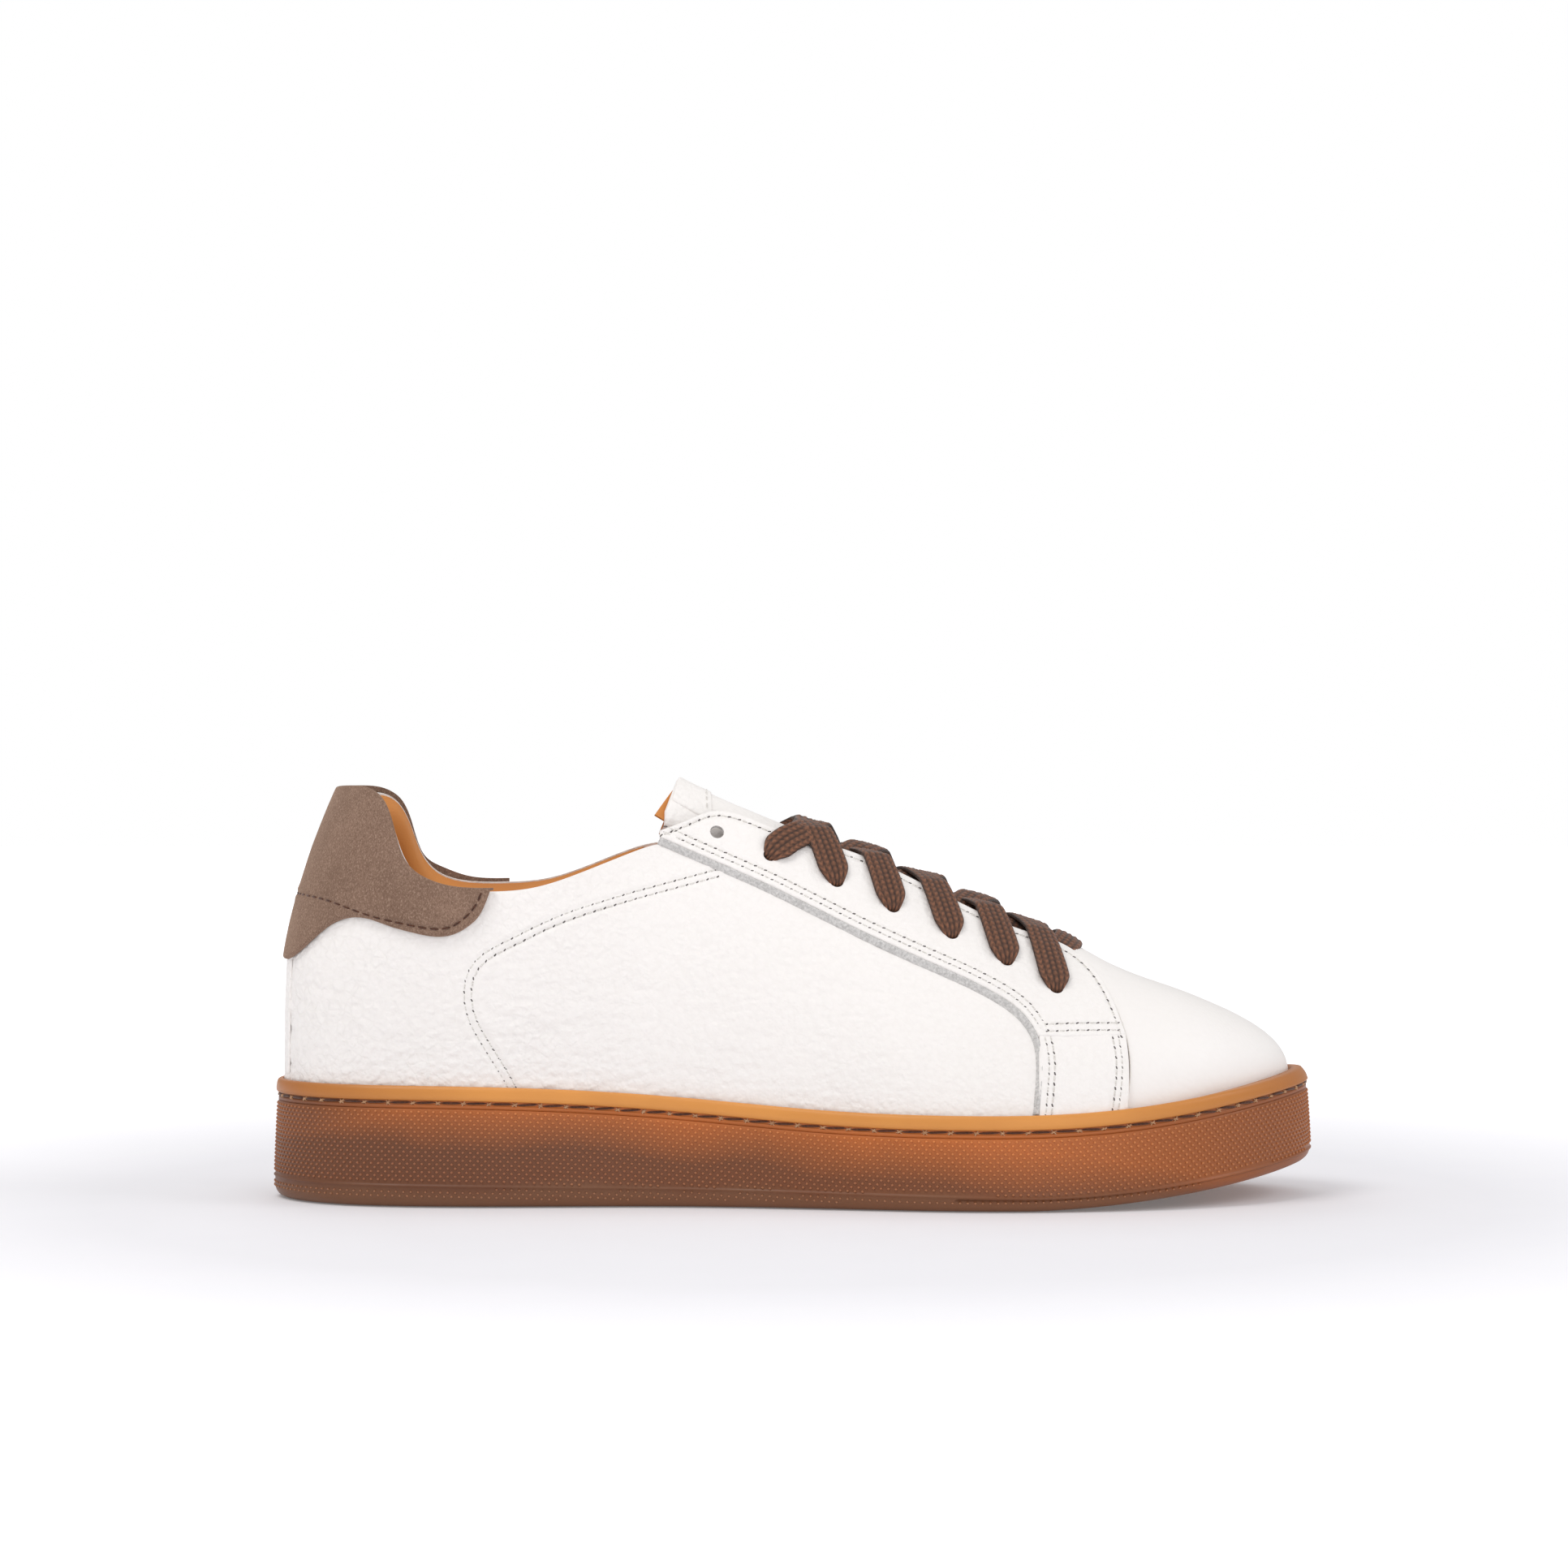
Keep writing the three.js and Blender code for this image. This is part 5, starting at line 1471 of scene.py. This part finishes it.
def build_tongue():
    rear, front, cap_front = TONGUE_REAR_X, TONGUE_FRONT_X, CAP_FRONT_X
    top, normal = tongue_grid(rear, front, 1, -3.5, (132, 45), 2.0, 4.4, 0.9)
    under, _ = tongue_grid(rear + 0.15, front, 0.96, -4.6, (132, 45), 1.1, 3.3, 0.2)
    relief = hide(0.05, lambda p: 0.12 * smoothstep(70, -10, p[..., 0]), seed=23)
    top = top + normal * relief(top)[..., None] * 0.6
    tongue_piece("tongue_shell", top, under, white_leather, "white_leather", replaces=("tongue_leather",))
    faces = [tongue_grid(rear + 5.7, front - 2, 0.86, lift, (70, 22), bow=0.0)[0] for lift in (-4.9, -8.3)]
    pad = tongue_piece("tongue_padding", *faces, foam_cream, "foam", replaces=("tongue_foam",))

    def turned_up(lift):
        """Offset rule of the lining, which comes up over the padding's end to meet the shell."""
        return lambda distance: lift + LINING_TURN_UP * (1 - smoothstep(TURN_UP_FROM, TURN_UP_TO, distance))

    faces = [tongue_grid(rear + 0.7, front - 2, 0.95, turned_up(lift), (128, 43), bow=8.0)[0]
             for lift in (-8.5, -9.3)]
    tongue_piece("tongue_lining_leather", *faces, tan_lining, "lining_leather", replaces=("tongue_lining",))
    cap, _ = tongue_grid(rear + 0.1, cap_front, 0.72, -2.95, (15, 43), 0.5, 0.5, 0.4)
    under, _ = tongue_grid(rear + 0.6, cap_front - 0.3, 0.7, -3.45, (15, 43), 0.3, 0.25, 0.1)
    tongue_piece("tongue_cap_leather", cap, under, white_leather, "white_leather", replaces=("tongue_cap",))
    row, sewn = over_plan(cap_front - 1.3, np.linspace(-10.5, 13, 10), -2.9), []
    sew([row], into=sewn, marks=False)
    new_mesh("tongue_stitches", *scatter(capsule(), join(sewn)), pale_thread, "white_leather", body="tongue")


build_tongue()

# ---------------------------------------------------------------- shoelace

LACED_ROWS, LACE_WIDTH, LACE_WIDTH_IN_HOLE, LACE_THICKNESS, THICKER_IN_HOLE = 6, 9.2, 4.2, 1.6, 1.35
OUTSIDE, UNDER, NEAR_EDGE, OVER_CROSSING = 2.75, -2.15, 2.7, -0.35
CLEAR_OF_HOLE, TAIL_LENGTH = 6, 13
HOLE_PASS = [  # distance from the hole (along the strand), offset from the surface, share of the full width
    (CLEAR_OF_HOLE, UNDER, 1), (3.2, UNDER, 0.7), (1.3, -1.9, 0.15), (0, -0.6, 0), (0, 1.1, 0.05),
    (0.9, 2.5, 0.6), (2.3, OUTSIDE, 0.96), (CLEAR_OF_HOLE, OUTSIDE, 1),
]
BRAID_STEP, BRAID_PITCH, BRAID_COLUMNS = 0.28, 1.9, 10
AROUND, PATH_SMOOTHING, NORMAL_SMOOTHING, SPREAD_SMOOTHING, SIDE_SMOOTHING = 56, 0.75, 3, 0.7, 1.2
LEAST_SIDE, CROWN, RELIEF, RELIEF_LEVEL = 0.35, 0.25, 0.42, 0.6
LAST_LEAN, BAR_FORWARD, BAR_OFFSET = 5.5, 5.6, 1.1
OTHER_SIDE = {"lateral": "medial", "medial": "lateral"}


def hole_plan(side, row):
    return hole_spot(side, row)[0][:2]


def pass_hole(side, row, inward, outward, from_inside):
    """Stations of a strand that comes up (or goes down) through one hole."""
    centre = hole_plan(side, row)
    stations = [(*(centre + (inward if offset < 0 else outward) * u), offset, spread)
                for u, offset, spread in HOLE_PASS]
    return stations if from_inside else stations[::-1]


def zigzag(start, heights):
    """Stations (x, y, offset, spread) of one strand from the first row of holes to the last."""
    strand, side = [], start
    inward = np.array([0, 1 if start == "lateral" else -1], float)
    for row in range(LACED_ROWS - 1):
        a, b = hole_plan(side, row), hole_plan(OTHER_SIDE[side], row + 1)
        ahead = unit(b - a)
        strand += pass_hole(side, row, inward, ahead, True)
        last = row == LACED_ROWS - 2
        middle = [(0.2, OUTSIDE), (0.31, NEAR_EDGE), (0.4, heights[0]), (0.5, heights[1])]
        if last:
            middle += [(0.6, heights[1] + 0.5), (0.7, 1.1), (0.8, OUTSIDE - 0.2)]
        else:
            middle += [(0.6, heights[2]), (0.69, UNDER), (0.8, UNDER)]
        for k, offset in middle:
            lean = LAST_LEAN * float(smoothstep(0.35, 0.72, k)) if last else 0
            strand.append((*(mix(a, b, k) + (lean, 0)), offset, 1))
        side, inward = OTHER_SIDE[side], -ahead
        if last:
            inward = unit(a + (b - a) * 0.8 + (LAST_LEAN, 0) - b)
    tail = unit(np.array([-1, -0.1 if side == "lateral" else 0.1]))
    strand += pass_hole(side, LACED_ROWS - 1, tail, inward, False)
    strand.append((*(hole_plan(side, LACED_ROWS - 1) + tail * TAIL_LENGTH), UNDER, 0.6))
    return strand


def lace_stations():
    """Stations of the whole lace: one strand backwards, the bar across the first holes, the other strand."""
    over = zigzag("lateral", (1.1, OVER_CROSSING, -1.6))
    under = zigzag("medial", (0.3, UNDER, UNDER))
    a, b = hole_plan("lateral", 0), hole_plan("medial", 0)
    bar = []
    for k in np.linspace(0.2, 0.8, 9):
        rise = math.sin(math.pi * (k - 0.2) / 0.6)
        bar.append((*(mix(a, b, k) + (BAR_FORWARD * rise, 0)), mix(UNDER, BAR_OFFSET, rise), 0.9))
    return np.array(over[::-1] + bar + under, float)


def smooth_along(values, distance):
    """Rows of values, each BRAID_STEP further on, blurred over a distance."""
    sigma = distance / BRAID_STEP
    reach = int(sigma * 3)
    kernel = np.exp(-(np.arange(-reach, reach + 1) / sigma) ** 2 / 2)
    kernel /= kernel.sum()
    padded = np.concatenate([np.repeat(values[:1], reach, 0), values, np.repeat(values[-1:], reach, 0)])
    return np.stack([np.convolve(column, kernel, "valid") for column in padded.T], 1)


def steady_sides(broad):
    """The braid's broad direction at each step, kept where it is unclear and never turned over."""
    side, sides = np.zeros(3), np.zeros_like(broad)
    for i, direction in enumerate(broad):
        if np.linalg.norm(direction) > LEAST_SIDE:
            side = direction if np.dot(direction, side) >= 0 else -direction
        sides[i] = side
    return sides


def braid_weave(u, at):
    """Height of the plaited yarns, 0..1, by place across the braid (-1..1) and distance along it."""
    column = (u * 0.5 + 0.5) * BRAID_COLUMNS / 2
    lean = np.abs((column % 1) - 0.5) * 2
    braid = np.sin(2 * math.pi * (at[:, None] / BRAID_PITCH + lean * 0.8)) * 0.5 + 0.5
    ridge = np.cos(2 * math.pi * (column % 1 - 0.5)) * 0.5 + 0.5
    return (0.22 + 0.78 * ridge ** 0.5) * (0.45 + 0.55 * braid)


def build_lace():
    stations = lace_stations()
    points, normals = over_plan(*stations[:, :3].T)
    run = run_along(points)
    count = int(run[-1] / BRAID_STEP)
    at = np.linspace(0, run[-1], count)

    def resample(values, smoothing):
        return smooth_along(np.stack([np.interp(at, run, column) for column in values.T], 1), smoothing)

    path, normal = resample(points, PATH_SMOOTHING), resample(normals, NORMAL_SMOOTHING)
    spread = resample(stations[:, 3:4], SPREAD_SMOOTHING)
    tangent = unit(np.gradient(path, axis=0))
    sides = smooth_along(steady_sides(np.cross(normal, tangent)), SIDE_SMOOTHING)
    sides = unit(sides - tangent * (sides * tangent).sum(1, keepdims=True))
    flat = np.cross(tangent, sides)
    angle = 2 * math.pi * np.arange(AROUND) / AROUND
    u = np.sign(np.cos(angle)) * np.abs(np.cos(angle)) ** 0.75
    v = np.sign(np.sin(angle)) * np.abs(np.sin(angle)) ** 0.62
    half = mix(LACE_WIDTH_IN_HOLE, LACE_WIDTH, spread) / 2
    thick = LACE_THICKNESS / 2 * mix(THICKER_IN_HOLE, 1.0, spread)
    weave = braid_weave(u, at)
    rise = v * (thick + RELIEF * (weave - RELIEF_LEVEL)) + CROWN * thick * (1 - u ** 2) * np.sign(v)
    grid = path[:, None] + sides[:, None] * (u * half)[..., None] + flat[:, None] * rise[..., None]
    lace = tube_rings("lace_braid", list(grid), True, lace_cotton, "lace", replaces=("shoelace",))
    # Weave height, which the lace's material turns into painted shade in the braid's hollows.
    depth = lace.data.attributes.new("weave", "FLOAT", "POINT")
    depth.data.foreach_set("value", weave.reshape(-1).astype(np.float32))


build_lace()

new_mesh("upper_stitches", *scatter(capsule(6, 5), join(threads)), pale_thread, "white_leather")
# Dark grey marks at the needle holes: painted shadow in the holes.
new_mesh("needle_shadow_marks", *scatter(capsule(6, 5), join(needle_shadow_marks)), hole_shadow, "facing")

# ---------------------------------------------------------------- finishes of the CAD pieces that stay

KEPT = {
    "midsole_filler": foam_cream, "shank": shank_steel, "lasting_board": fibre_board, "toe_puff": fibre_board,
    "heel_counter": fibre_board, "footbed_foam": foam_cream, "footbed_cover": tan_lining,
    "eyestay_facing_lateral": cut_edge, "eyestay_facing_medial": cut_edge,
}
for node_name, finish in KEPT.items():
    cad_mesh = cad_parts[node_name].data
    cad_mesh.materials.clear()
    cad_mesh.materials.append(finish)
